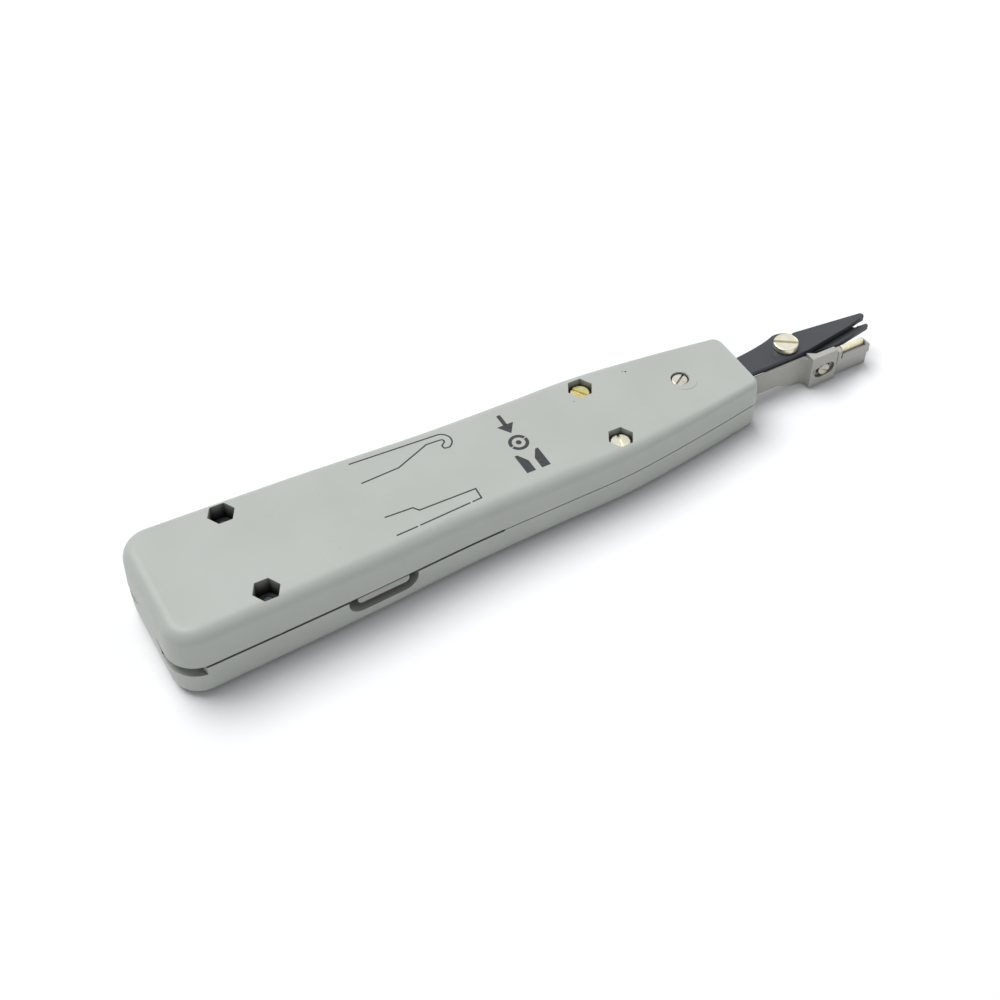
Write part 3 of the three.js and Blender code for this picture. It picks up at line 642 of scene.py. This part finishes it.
def shared_cuts():
    """What both halves lose: the nose opening, screw holes and the slots of the folding tools."""
    nose_x, near, far, bottom, top = NOSE_OPENING.values()
    cuts = [block(nose_x, FRONT_X + 1, near, far, bottom, top)]
    half, slot_inner, slot_front = FOLD_SLOT.values()
    for side in SIDES.values():
        cuts.append(block(REAR_X - 2, slot_front, *span(side, slot_inner, OUTSIDE_Y), -half, half))
        cuts.append(screw_hole(CASING_SCREW.x, side * CASING_SCREW.y, SCREW_HOLE))
        cuts.append(screw_hole(FOLD_PIVOT.x, side * FOLD_PIVOT.y, SCREW_HOLE))
        recess = circle(FOLD_PIVOT.x, side * FOLD_PIVOT.y, WASHER_RECESS["radius"], 40)
        cuts.append(prism(recess, 0, WASHER_RECESS["depth"]))
    cuts.append(screw_hole(FRONT_SCREW.x, FRONT_SCREW.y, FRONT_HOLE))
    return cuts


def screw_pad():
    """Slightly raised round pad that the hole of the front screw sits in, off centre."""
    x, y = FRONT_SCREW.x + 0.5, FRONT_SCREW.y - 1.2
    rings = []
    for radius, rise in ((2.85, -1.0), (2.85, 0.02), (2.75, 0.09), (2.5, 0.11)):
        rings.append(level(circle(x, y, radius), lambda at, rise=rise: upper_height(at) + rise))
    return loft(rings)


def upper_casing():
    wells = []
    for side in SIDES.values():
        for at, floor in ((CASING_SCREW, UPPER_FLOOR["casing"]), (FOLD_PIVOT, UPPER_FLOOR["fold"])):
            wells.append(hex_well(at.x, side * at.y, HEX_POCKET, 1, upper_height, floor))
    at = FRONT_SCREW.x, FRONT_SCREW.y
    wells.append(round_well(*at, FRONT_POCKET, 1, upper_height, UPPER_FLOOR["front"]))
    shell = cut(outer_form(1, upper_height), cavity_form(1, upper_height))
    shell = join(shell, *bosses(1, upper_height), screw_pad())
    stand_in("upper_casing", cut(shell, *shared_cuts(), *wells), "casing", "casing")


POCKET = {"x0": -52.5, "x1": -36.1, "bottom": -4.5, "top": 1.0, "corner": 3.2, "floor": 12.3}


def finger_pocket(side):
    """Pocket in the side wall that lets a fingernail reach the tab of a folded tool."""
    x0, x1, bottom, top, corner, floor = POCKET.values()
    outline = [(x0, top)]
    outline += arc(x0 + corner, bottom + corner, corner, math.pi, 1.5 * math.pi, 10)
    outline += arc(x1 - corner, bottom + corner, corner, 1.5 * math.pi, 2 * math.pi, 10)
    outline.append((x1, top))
    return side_prism(outline, *span(side, floor, OUTSIDE_Y))


def tab_groove(side):
    """Groove round a rear corner, which a tab passes when its tool is folded out."""
    x, y = FOLD_PIVOT.x, side * FOLD_PIVOT.y
    outer, inner, depth, groove_y, front = TAB_GROOVE.values()
    ring = cut(prism(circle(x, y, outer, 96), -depth, 0), prism(circle(x, y, inner, 96), -depth - 0.6, 1))
    return common(ring, block(REAR_X - 1, front, *span(side, groove_y, OUTSIDE_Y), -5, 1))


def lower_casing():
    wells = []
    for side in SIDES.values():
        at = CASING_SCREW.x, side * CASING_SCREW.y
        wells.append(hex_well(*at, HEX_POCKET, -1, lower_height, LOWER_FLOOR["casing"]))
        at = FOLD_PIVOT.x, side * FOLD_PIVOT.y
        wells.append(round_well(*at, HEAD_POCKET, -1, lower_height, LOWER_FLOOR["fold"]))
        wells.append(finger_pocket(side))
        wells.append(tab_groove(side))
    at = FRONT_SCREW.x, FRONT_SCREW.y
    wells.append(hex_well(*at, FRONT_NUT_POCKET, -1, lower_height, LOWER_FLOOR["front"]))
    wells.append(prism(circle(CAM_POST["x"], CAM_POST["y"], CAM_POST["hole"], 24), -4, 2))
    shell = cut(outer_form(-1, lower_height), cavity_form(-1, lower_height))
    shell = join(shell, *bosses(-1, lower_height))
    stand_in("lower_casing", cut(shell, *shared_cuts(), *wells), "casing", "casing")


# ---- fasteners ----------------------------------------------------------------------------


# radius and height of the head, radius of the shank
CASING_SIZE = (2.25, 1.5, 1.25)
FRONT_SIZE = (1.85, 1.4, 1.0)
FOLD_SIZE = (2.25, 1.6, 1.25)
SCISSOR_SIZE = (2.9, 1.4, 1.25)


def slotted_screw(node, body, look, size, slot_degrees, head_up=True):
    """Cheese-head screw with a rounded head edge and a sawn slot, in the box of its CAD node."""
    head_r, head_height, shank_r = size
    low, high = local_box(node)
    x, y = (low.x + high.x) / 2, (low.y + high.y) / 2
    edge = 0.22
    turns = (0, 0.4, 0.8, 1.2, math.pi / 2)
    dome = [(head_r - edge * (1 - math.cos(a)), -edge * (1 - math.sin(a))) for a in turns]
    profile = [(shank_r - 0.2, high.z - low.z), (shank_r, high.z - low.z - 0.3), (shank_r, head_height)]
    profile += [(head_r - 0.12, head_height), (head_r, head_height - 0.12)]
    profile += [(r, -z) for r, z in dome] + [(head_r - edge - 0.05, 0.0)]
    top = high.z if head_up else low.z
    sign = 1 if head_up else -1
    rings = [level(circle(x, y, r, 56), top - sign * depth) for r, depth in profile]
    bm = loft(rings if head_up else rings[::-1])
    slot = block(-head_r * 1.5, head_r * 1.5, -head_r * 0.14, head_r * 0.14, -0.62, 2, 0.03)
    if not head_up:
        slot.transform(Matrix.Rotation(math.pi, 4, "X"))
    slot.transform(Matrix.Translation((x, y, top)) @ Matrix.Rotation(math.radians(slot_degrees), 4, "Z"))
    stand_in(node, cut(bm, slot), body, look)


def hex_nut(node, body, look, bore):
    """Hexagon nut with its corners turned off at both faces."""
    low, high = local_box(node)
    x, y = (low.x + high.x) / 2, (low.y + high.y) / 2
    across = high.y - low.y
    flat, corner = across / 2 - 0.05, across / math.sqrt(3) + 0.02
    trim = turned(x, y, [(flat, low.z), (corner, low.z + 0.35), (corner, high.z - 0.35), (flat, high.z)], 60)
    body_bm = common(prism(hexagon(x, y, across), low.z - 0.01, high.z + 0.01), trim)
    hole = turned(x, y, [
        (bore + 0.25, low.z - 0.1), (bore, low.z + 0.25), (bore, high.z - 0.25), (bore + 0.25, high.z + 0.1),
    ], 32)
    stand_in(node, cut(body_bm, hole), body, look)


def ring_part(node, body, look, bore):
    """Sleeve or washer in the box of its CAD node."""
    low, high = local_box(node)
    x, y = (low.x + high.x) / 2, (low.y + high.y) / 2
    edge = min(0.1, (high.z - low.z) / 3)
    outer = turned(x, y, chamfered((high.y - low.y) / 2, low.z, high.z, edge))
    stand_in(node, cut(outer, prism(circle(x, y, bore, 32), low.z - 1, high.z + 1)), body, look)


def fasteners():
    slotted_screw("casing_screw_far", "casing", "brass", CASING_SIZE, -58)
    slotted_screw("casing_screw_near", "casing", "nickel", CASING_SIZE, 76)
    slotted_screw("front_screw", "casing", "dull_nickel", FRONT_SIZE, 32)
    slotted_screw("scissor_pivot_screw", "head", "nickel", SCISSOR_SIZE, -35)
    for label in ("hook", "knife"):
        slotted_screw(f"{label}_pivot_screw", "casing", "black", FOLD_SIZE, 28, head_up=False)
        hex_nut(f"{label}_pivot_nut", "casing", "black", SCREW_HOLE)
        ring_part(f"{label}_pivot_bush", "casing", "brass", SCREW_HOLE)
        ring_part(f"{label}_spring_washer", "casing", "steel", SCREW_HOLE)
    for label in SIDES:
        hex_nut(f"casing_nut_{label}", "casing", "nickel", SCREW_HOLE)
    hex_nut("front_nut", "casing", "nickel", FRONT_HOLE)
    hex_nut("scissor_pivot_nut", "head", "black", SCREW_HOLE)
    ring_part("front_spacer", "casing", "steel", FRONT_HOLE)


# ---- head: ram, scissor blade, sensor -----------------------------------------------------


def grind(base, edge_from, edge_to, run, land, z_face, sign):
    """Grinds a slanted face along an edge in plan. run is how far it reaches in, land what stays."""
    start, end = Vector(edge_from), Vector(edge_to)
    along = (end - start).normalized()
    inwards = Vector((-along.y, along.x))
    depth = abs(z_face - land)
    section = [(-1.5, -1.5 * depth / run - depth), (-1.5, 2), (run, 2), (run, 0)]
    points = []
    for at in (start - along * 2, end + along * 2):
        ring = []
        for reach, height in section:
            p = at + inwards * reach
            ring.append((p.x, p.y, z_face + sign * height))
        points.append(ring)
    return cut(base, loft(points))


GUIDE_SLOT = {"radius": 1.8, "travel": 7.4}
RIVET_HOLE = 1.0


def ram_plate():
    """Upper plate of the tip, with the slot that slides on the front spacer."""
    outline = [(-6, -2.65), (72, -2.65), (85.2, -0.6), (88.4, 0.15)]
    outline += arc(TIP_X - 0.8, 1.1, 0.8, -1.3, 1.35, 12)
    outline.append((72.2, 4.0))
    outline += arc(SCISSOR_PIVOT.x, SCISSOR_PIVOT.y, 4.6, 0.62, 1.75, 14)
    outline += bezier(outline[-1], (64, 4.1), (56, 3.4), 10)
    outline.append((-6, 3.4))
    low, high = local_box("ram_plate")
    radius, travel = GUIDE_SLOT.values()
    slot = arc(FRONT_SCREW.x + travel, FRONT_SCREW.y, radius, -math.pi / 2, math.pi / 2, 12)
    slot += arc(FRONT_SCREW.x, FRONT_SCREW.y, radius, math.pi / 2, 1.5 * math.pi, 12)
    holes = [prism(slot, 0, 4), prism(circle(SCISSOR_PIVOT.x, SCISSOR_PIVOT.y, SCREW_HOLE, 32), 0, 4)]
    for node in ("ram_rivet_1", "ram_rivet_2"):
        holes.append(prism(circle(centre(node).x, centre(node).y, RIVET_HOLE, 24), 0, 4))
    stand_in("ram_plate", cut(prism(outline, low.z, high.z, 0.14), *holes), "head", "black")


def scissor_blade():
    """Lower blade, with the notch that cuts the wire behind its point."""
    outline = [(51, -0.1), (60, -1.4), (65, -2.2), (72, -2.5), (80, -3.2), (88, -1.8), (TIP_X - 0.2, -1.41)]
    outline += [(TIP_X, -1.2), (TIP_X, -0.7), (TIP_X - 0.2, -0.5), (TIP_X - 2.2, -0.35)]
    outline += arc(TIP_X - 2.9, 0.3, 0.7, -0.6, -1.5 * math.pi + 0.6, 12)
    outline.append((72, 2.9))
    outline += arc(SCISSOR_PIVOT.x, SCISSOR_PIVOT.y, 3.9, 0.4, 2.2, 16)
    outline += [(58.3, 3.6), (51, 2.2)]
    low, high = local_box("scissor_blade")
    body = prism(outline, low.z, high.z, 0.12)
    body = cut(body, prism(circle(SCISSOR_PIVOT.x, SCISSOR_PIVOT.y, SCISSOR_HOLE, 32), -2, 4))
    stand_in("scissor_blade", body, "scissor", "black")


ARM = {"outer": -3.35, "inner": -2.85, "top": 1.6, "bottom": -4.3, "rear": 30}
BLOCK = {"outer": -5.8, "inner": -4.4, "top": 2.6, "bottom": -6.35, "x0": 71, "x1": 78.4}
SHOE = {"inner": -4.0, "top": 1.5, "step": -2.3, "lip": 0.2}
SENSOR_SCREW = centre("sensor_screw")


def slot_in_side(radius, y0, y1):
    """A long hole in the sensor block, in which its shoe is adjusted, cut along y."""
    x, z = SENSOR_SCREW.x, SENSOR_SCREW.z
    half_length, rise = 1.1, 0.1
    outline = arc(x + half_length, z + rise, radius, -math.pi / 2, math.pi / 2, 12)
    outline += arc(x - half_length, z - rise, radius, math.pi / 2, 1.5 * math.pi, 12)
    return side_prism(outline, y0, y1)


def moulded_ring(x, z):
    """The small sunk ring in the outer face of the sensor block."""
    face = BLOCK["outer"]
    disc = turned(0, 0, [(0.7, -0.5), (0.7, 0.1), (0.85, 0.2), (0.85, 0.5)], 24)
    disc.transform(Matrix.Translation((x, face, z)) @ Matrix.Rotation(math.pi / 2, 4, "X"))
    ring = cut(disc, side_prism(circle(x, z, 0.5, 24), face - 1, face + 1))
    return common(ring, block(BLOCK["x0"], BLOCK["x1"], face - 0.3, face + 0.1, -5, 2))


def sensor_arm():
    """Arm beside the tip, thickened into a block at its front end, with a foot for its spring."""
    outer, inner, top, bottom, rear = ARM.values()
    face, block_inner, block_top, heel, x0, x1 = BLOCK.values()
    step = bezier((x0 - 1.8, outer), (x0 - 0.2, outer), (x0, outer - 1.6), 7)
    foot = [(33, outer), (33, -8.2), (35, -8.2), (35, outer)]
    plan = [(rear, outer), *foot, (x0 - 1.8, outer), *step]
    plan += [(x0 + 0.1, face), (x1, face), (x1, block_inner), (x0 + 2, block_inner)]
    plan += [(x0 - 0.4, inner), (rear, inner)]
    side = [(rear, top), (rear, bottom), (63.2, bottom)]
    side += bezier(side[-1], (64.2, bottom), (66.0, (bottom + heel) / 2), 8)
    side += bezier(side[-1], (67.8, heel), (x0 - 1.0, heel), 8)
    side += [(x1, heel), (x1, block_top - 0.5), (x1 - 0.5, block_top), (x0 + 0.1, block_top)]
    side.append((x0 + 0.1, top))
    bm = common(prism(plan, -20, 20), side_prism(side, -20, 20))
    recess = slot_in_side(1.75, face - 1, face + 0.75)
    hole = slot_in_side(0.9, face - 1, block_inner + 1)
    bm = soften(cut(bm, recess, hole), 0.12)
    stand_in("sensor_arm", cut(bm, moulded_ring(x0 + 1.3, -1.7)), "sensor", "cream")


def sensor_shoe():
    """End shoe with the seat of its strip, held by a tongue behind the sensor block."""
    strip_low, strip_high = local_box("sensor_strip")
    x0, x1 = BLOCK["x1"] + 0.15, local_box("sensor_shoe")[1].x
    face, bottom = BLOCK["outer"], BLOCK["bottom"]
    inner, top, step, lip = SHOE.values()
    section = [(face, top), (face, step), (face + 0.5, step - 0.4), (face + 0.7, bottom)]
    section += [(inner, bottom), (inner, top)]
    bm = prism([(-z, y) for y, z in section], x0, x1)
    bm.transform(Matrix.Rotation(math.pi / 2, 4, "Y"))
    tongue = block(73.6, x0 + 0.2, -4.2, -3.2, -4, -0.9)
    bm = join(bm, tongue)
    pin_hole = side_prism(circle(SENSOR_SCREW.x, SENSOR_SCREW.z, 0.85, 24), -5, -2)
    start, end = strip_low.x - 0.15, strip_high.x + 0.15
    seat = block(start, end, face - 1, strip_low.y + 0.35, lip, top + 1)
    ledge = block(start, end, face - 1, inner + 1, strip_high.z - 0.4, top + 1)
    nick = block(start - 0.35, start, face - 1, face + 0.3, -0.9, top + 1)
    ramp = [(end - 0.1, top), (x1 + 0.5, top - 1.9), (x1 + 0.5, top + 1), (end - 0.1, top + 1)]
    bm = cut(bm, pin_hole, seat, ledge, nick, side_prism(ramp, face - 1, inner + 1))
    stand_in("sensor_shoe", soften(bm, 0.1), "sensor", "cream")


def sensor_strip():
    """Angle strip let into the shoe: a flange over a leg."""
    low, high = local_box("sensor_strip")
    leg = block(low.x, high.x, low.y, low.y + 0.3, low.z, high.z - 0.1)
    bm = join(leg, block(low.x, high.x, low.y, high.y, high.z - 0.35, high.z))
    stand_in("sensor_strip", soften(bm, 0.08), "sensor", "pale_brass")


def sensor_screw():
    """Adjusting screw, drawn along z and laid along y."""
    low, high = local_box("sensor_screw")
    x, z = SENSOR_SCREW.x, SENSOR_SCREW.z
    head = turned(x, -z, chamfered(1.5, low.y, low.y + 0.6, 0.12), 40)
    shank = turned(x, -z, chamfered(0.75, low.y + 0.5, high.y, 0.1), 24)
    bm = join(head, shank)
    slot = block(-2, 2, -0.24, 0.24, -1, 0.3)
    slot.transform(Matrix.Translation((x, -z, low.y)) @ Matrix.Rotation(math.radians(35), 4, "Z"))
    bm = cut(bm, slot)
    bm.transform(Matrix(((1, 0, 0, 0), (0, 0, 1, 0), (0, -1, 0, 0), (0, 0, 0, 1))))
    stand_in("sensor_screw", bm, "sensor", "dull_nickel")


# ---- folding tools ------------------------------------------------------------------------

TAB = {"x0": -50.4, "x1": -38.2, "depth": 2.0, "corner": 1.1}


def fold_sheet(node, inner_edge, side):
    """Sheet-metal tool that turns about its pivot, with the lug that carries its tab."""
    x, y = FOLD_PIVOT.x, abs(FOLD_PIVOT.y)
    outline = [(x, y - FOLD_EYE), *inner_edge, (-35.5, 11.5)]
    outline += bezier((-35.5, 11.5), (TAB["x1"], 12.2), (TAB["x1"], 15.0), 8)
    outline += [(TAB["x0"], 15.4), (x + 2, y + 4.1)]
    outline += arc(x, y, FOLD_EYE, 1.1, 1.5 * math.pi, 28)[:-1]
    outline = [(px, side * py) for px, py in outline]
    low, high = local_box(node)
    bush_hole = prism(circle(x, side * y, BUSH_HOLE, 40), -2, 2)
    return cut(prism(outline, low.z, high.z, 0.07, 2), bush_hole)


def release_hook():
    edge = [(-58, 5.9), (-38.7, 5.6), (-30, 5.9), (-21.4, 9.1)]
    edge += bezier(edge[-1], (-19.0, 9.5), (-18.6, 8.0), 8)
    edge.append((-18.4, 6.5))
    edge += bezier(edge[-1], (-16.2, 7.2), (-16.3, 8.8), 8)
    edge += bezier(edge[-1], (-16.6, 10.9), (-19, 11.0), 8)
    stand_in("release_hook", fold_sheet("release_hook", edge, 1), "hook", "steel")


def knife_blade():
    """Knife with its cutting edge ground from both faces."""
    edge = [(-58, 6.0), (-38.7, 5.8), (-32.4, 5.9), (-31.4, 7.0), (-17.9, 7.2), (-19.6, 10.3)]
    bm = fold_sheet("knife_blade", edge, -1)
    low, high = local_box("knife_blade")
    for z_face, sign in ((high.z, 1), (low.z, -1)):
        land = 0.04 * sign
        bm = grind(bm, (-18.5, -7.19), (-30.4, -7.02), run=1.5, land=land, z_face=z_face, sign=sign)
    stand_in("knife_blade", bm, "knife", "steel")


def fold_tab(label, side):
    """Moulded fingernail tab under a tool's lug, its outer face in line with the casing's side."""
    node = f"{label}_tab"
    low, high = local_box(node)
    x0, x1, depth, corner = TAB.values()
    outline = [(x0, high.z), *arc(x0 + corner, low.z + corner, corner, math.pi, 1.5 * math.pi, 8)]
    outline += [*arc(x1 - corner, low.z + corner, corner, 1.5 * math.pi, 2 * math.pi, 8), (x1, high.z)]
    plan = [(x0 - 1, 15.55 - depth), (x1 + 1, 15.1 - depth), (x1 + 1, 15.1), (x0 - 1, 15.75)]
    bm = common(side_prism(outline, -20, 20), prism([(x, side * y) for x, y in plan], -5, 5))
    stand_in(node, soften(bm, 0.2, 40, 3), label, "tab")


# ---- inner works --------------------------------------------------------------------------


def coil(node, body, turns, wire):
    """Compression spring with closed ends, riding on its body as a whole."""
    low, high = local_box(node)
    radius = (high.y - low.y - wire) / 2
    y, z = (low.y + high.y) / 2, (low.z + high.z) / 2
    x0, x1 = low.x + wire / 2, high.x - wire / 2
    steps, sides = 28, 12
    closed = wire * 1.05
    open_pitch = (x1 - x0 - 2 * closed) / (turns - 2)

    def at(t):
        opened = open_pitch * max(0, min(t - 1, turns - 2))
        x = x0 + closed * min(t, 1) + opened + closed * max(0, t - turns + 1)
        return Vector((x, y + radius * math.cos(2 * math.pi * t), z + radius * math.sin(2 * math.pi * t)))

    rings = []
    for i in range(turns * steps + 1):
        t = i / steps
        outwards = Vector((0, math.cos(2 * math.pi * t), math.sin(2 * math.pi * t)))
        along = (at(min(t + 0.01, turns)) - at(max(t - 0.01, 0))).normalized()
        across = along.cross(outwards).normalized()
        ring = []
        for k in range(sides):
            a = 2 * math.pi * k / sides
            ring.append(tuple(at(t) + wire / 2 * (outwards * math.cos(a) + across * math.sin(a))))
        rings.append(ring)
    obj = stand_in(node, loft(rings), body, "steel")
    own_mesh(obj)


CARRIED_OVER = {
    "ram_carriage": 0.25, "ram_rivet_1": 0.15, "ram_rivet_2": 0.15, "guide_rod": 0.2, "spring_seat": 0.2,
    "scissor_cam_pin": 0.12,
}


def inner_works():
    """Inner pieces keep their CAD shape, with rounded edges and their finish."""
    material, slot_name = LOOKS["steel"]
    for node, edge in CARRIED_OVER.items():
        obj = frame["nodes"][node]
        obj.data.materials.clear()
        obj.data.materials.append(material)
        bevel = obj.modifiers.new("edges", "BEVEL")
        bevel.width = edge / 1000
        bevel.segments = 2
        bevel.limit_method = "ANGLE"
        bevel.angle_limit = math.radians(40)
    coil("main_spring", "head", turns=11, wire=0.9)
    coil("sensor_spring", "sensor", turns=5, wire=0.5)


# ---- printing -----------------------------------------------------------------------------


def stroke(points, width):
    """Outline of a line of even width through points, with mitred corners."""
    left, right = [], []
    for i, p in enumerate(points):
        before = (Vector(p) - Vector(points[max(0, i - 1)])).normalized()
        after = (Vector(points[min(len(points) - 1, i + 1)]) - Vector(p)).normalized()
        along = (before + after).normalized()
        reach = width / 2 / max(0.6, along.dot(after if after.length else before))
        left.append((p[0] - along.y * reach, p[1] + along.x * reach))
        right.append((p[0] + along.y * reach, p[1] - along.x * reach))
    return left + right[::-1]


def printed(name, outlines):
    """Ink laid on the casing's top face."""
    sunk, skin = 0.03, 0.012
    bm = bmesh.new()
    for outline in outlines:
        loop = counter_clockwise(list(outline))
        bottom = level(loop, lambda x: upper_height(x) - sunk)
        layer = loft([bottom, level(loop, lambda x: upper_height(x) + skin)])
        mesh = bpy.data.meshes.new("layer")
        layer.to_mesh(mesh)
        layer.free()
        bm.from_mesh(mesh)
        bpy.data.meshes.remove(mesh)
    piece(name, bm, "casing", "ink")


def printing():
    """Outline symbols of the hook and the knife, a plain symbol of use, and a few specks of ink."""
    line = 0.36
    bold = 0.95
    hook = [(-38.7, 11.7), (-19, 10.7)]
    hook += spline([hook[-1], (-17.2, 10.45), (-15.95, 9.1), (-16.0, 7.4), (-17.2, 6.2), (-18.4, 6.35)], 5)
    hook += spline([hook[-1], (-18.5, 7.3), (-17.6, 8.0), (-17.6, 8.75), (-18.6, 9.0), (-21.4, 9.15)], 5)
    hook += [(-29.7, 5.8), (-38.75, 5.4)]
    blade = [(-38.7, -5.6), (-32.3, -5.9), (-31.4, -7.15), (-18.15, -7.3), (-18.3, -10.2), (-20.5, -10.3)]
    printed("print_hook_symbol", [stroke(hook, line)])
    printed("print_knife_symbol", [
        stroke(blade, line), stroke([(-21.0, -10.33), (-33.2, -11.0)], line),
        stroke([(-33.7, -11.03), (-38.7, -11.25)], line),
    ])
    specks = [(28.75, 8.4, 0.24, 7), (28.1, 8.75, 0.14, 6), (13.6, 5.6, 0.13, 6)]
    printed("print_specks", [circle(*speck) for speck in specks])
    middle, wire_y = -3.45, 0.3
    ring = [
        arc(middle, wire_y, 2.3, a, a + 3.0, 20) + arc(middle, wire_y, 1.5, a + 3.0, a, 20)
        for a in (0.4, 0.4 + math.pi)
    ]
    contact = [(2.9, -3.0), (2.9, -8.6), (0.75, -8.6), (0.75, -5.4), (2.2, -3.0)]
    printed("print_use_symbol", [
        stroke([(middle, 9.6), (middle, 6.2)], bold),
        [(middle, 3.5), (middle - 2.0, 6.4), (middle + 2.0, 6.4)],
        *ring,
        circle(middle, wire_y, 0.65, 20),
        *([(middle + way * x, y) for x, y in contact] for way in (1, -1)),
    ])


# ---- floor, light and camera --------------------------------------------------------------

CAMERA_AZIMUTH, CAMERA_ELEVATION, CAMERA_ROLL = (math.radians(d) for d in (-27.35, 48.61, -2.15))
CAMERA_TARGET = Vector((-0.0090, -0.0009, 0.0014))
CAMERA_DISTANCE = 0.3765
CAMERA_LENS = 61.2


def make_camera():
    """Camera that looks at its target from an azimuth and elevation, rolled about its view."""
    data = bpy.data.cameras.new("camera")
    data.lens = CAMERA_LENS
    data.sensor_width = 36
    data.clip_start = 0.01
    camera = bpy.data.objects.new("camera", data)
    bpy.context.scene.collection.objects.link(camera)
    a, e = CAMERA_AZIMUTH, CAMERA_ELEVATION
    back = Vector((math.sin(a) * math.cos(e), -math.cos(a) * math.cos(e), math.sin(e)))
    right = Vector((0, 0, 1)).cross(back).normalized()
    up = back.cross(right)
    turn = Matrix((right, up, back)).transposed() @ Matrix.Rotation(CAMERA_ROLL, 3, "Z")
    camera.matrix_world = Matrix.Translation(CAMERA_TARGET + back * CAMERA_DISTANCE) @ turn.to_4x4()
    bpy.context.scene.camera = camera


def area_light(name, location, size, power):
    """Round lamp aimed at the origin."""
    data = bpy.data.lights.new(name, "AREA")
    data.shape = "DISK"
    data.size = size
    data.energy = power
    light = bpy.data.objects.new(name, data)
    bpy.context.scene.collection.objects.link(light)
    light.location = location
    light.rotation_euler = Vector(location).to_track_quat("Z", "Y").to_euler()


def sky_light(name, direction, strength, spread):
    """Wide, even light from far away, so that the floor stays pale out to the horizon."""
    data = bpy.data.lights.new(name, "SUN")
    data.energy = strength
    data.angle = spread
    light = bpy.data.objects.new(name, data)
    bpy.context.scene.collection.objects.link(light)
    light.rotation_euler = Vector(direction).to_track_quat("Z", "Y").to_euler()


def make_stage():
    """Plain pale floor and soft studio light."""
    bm = bmesh.new()
    bmesh.ops.create_grid(bm, x_segments=1, y_segments=1, size=4)
    mesh = bpy.data.meshes.new("floor")
    bm.to_mesh(mesh)
    bm.free()
    floor = bpy.data.objects.new("floor", mesh)
    floor.location.z = -0.0002
    bpy.context.scene.collection.objects.link(floor)
    n = Nodes("floor_paint")
    shade = n.mix(n.noise(0.01, 2), (0.90, 0.90, 0.90), (0.92, 0.92, 0.92))
    mesh.materials.append(n.finish(shade, n.ranged(n.noise(0.05), 0, 1, 0.6, 0.7)))
    world = bpy.data.worlds.new("world")
    world.use_nodes = True
    background = world.node_tree.nodes["Background"]
    background.inputs["Color"].default_value = (0.92, 0.95, 1, 1)
    background.inputs["Strength"].default_value = 0.38
    bpy.context.scene.world = world
    sky_light("key", (-0.18, 0.42, 1.0), 2.5, 0.75)
    area_light("fill", (0.5, -0.9, 0.5), 0.9, 1.0)
    area_light("rim", (0.8, 0.5, 0.35), 0.5, 1.5)
    bpy.context.scene.view_settings.view_transform = "Standard"


upper_casing()
lower_casing()
fasteners()
ram_plate()
scissor_blade()
sensor_arm()
sensor_shoe()
sensor_strip()
sensor_screw()
release_hook()
knife_blade()
fold_tab("hook", 1)
fold_tab("knife", -1)
inner_works()
printing()
make_stage()
make_camera()
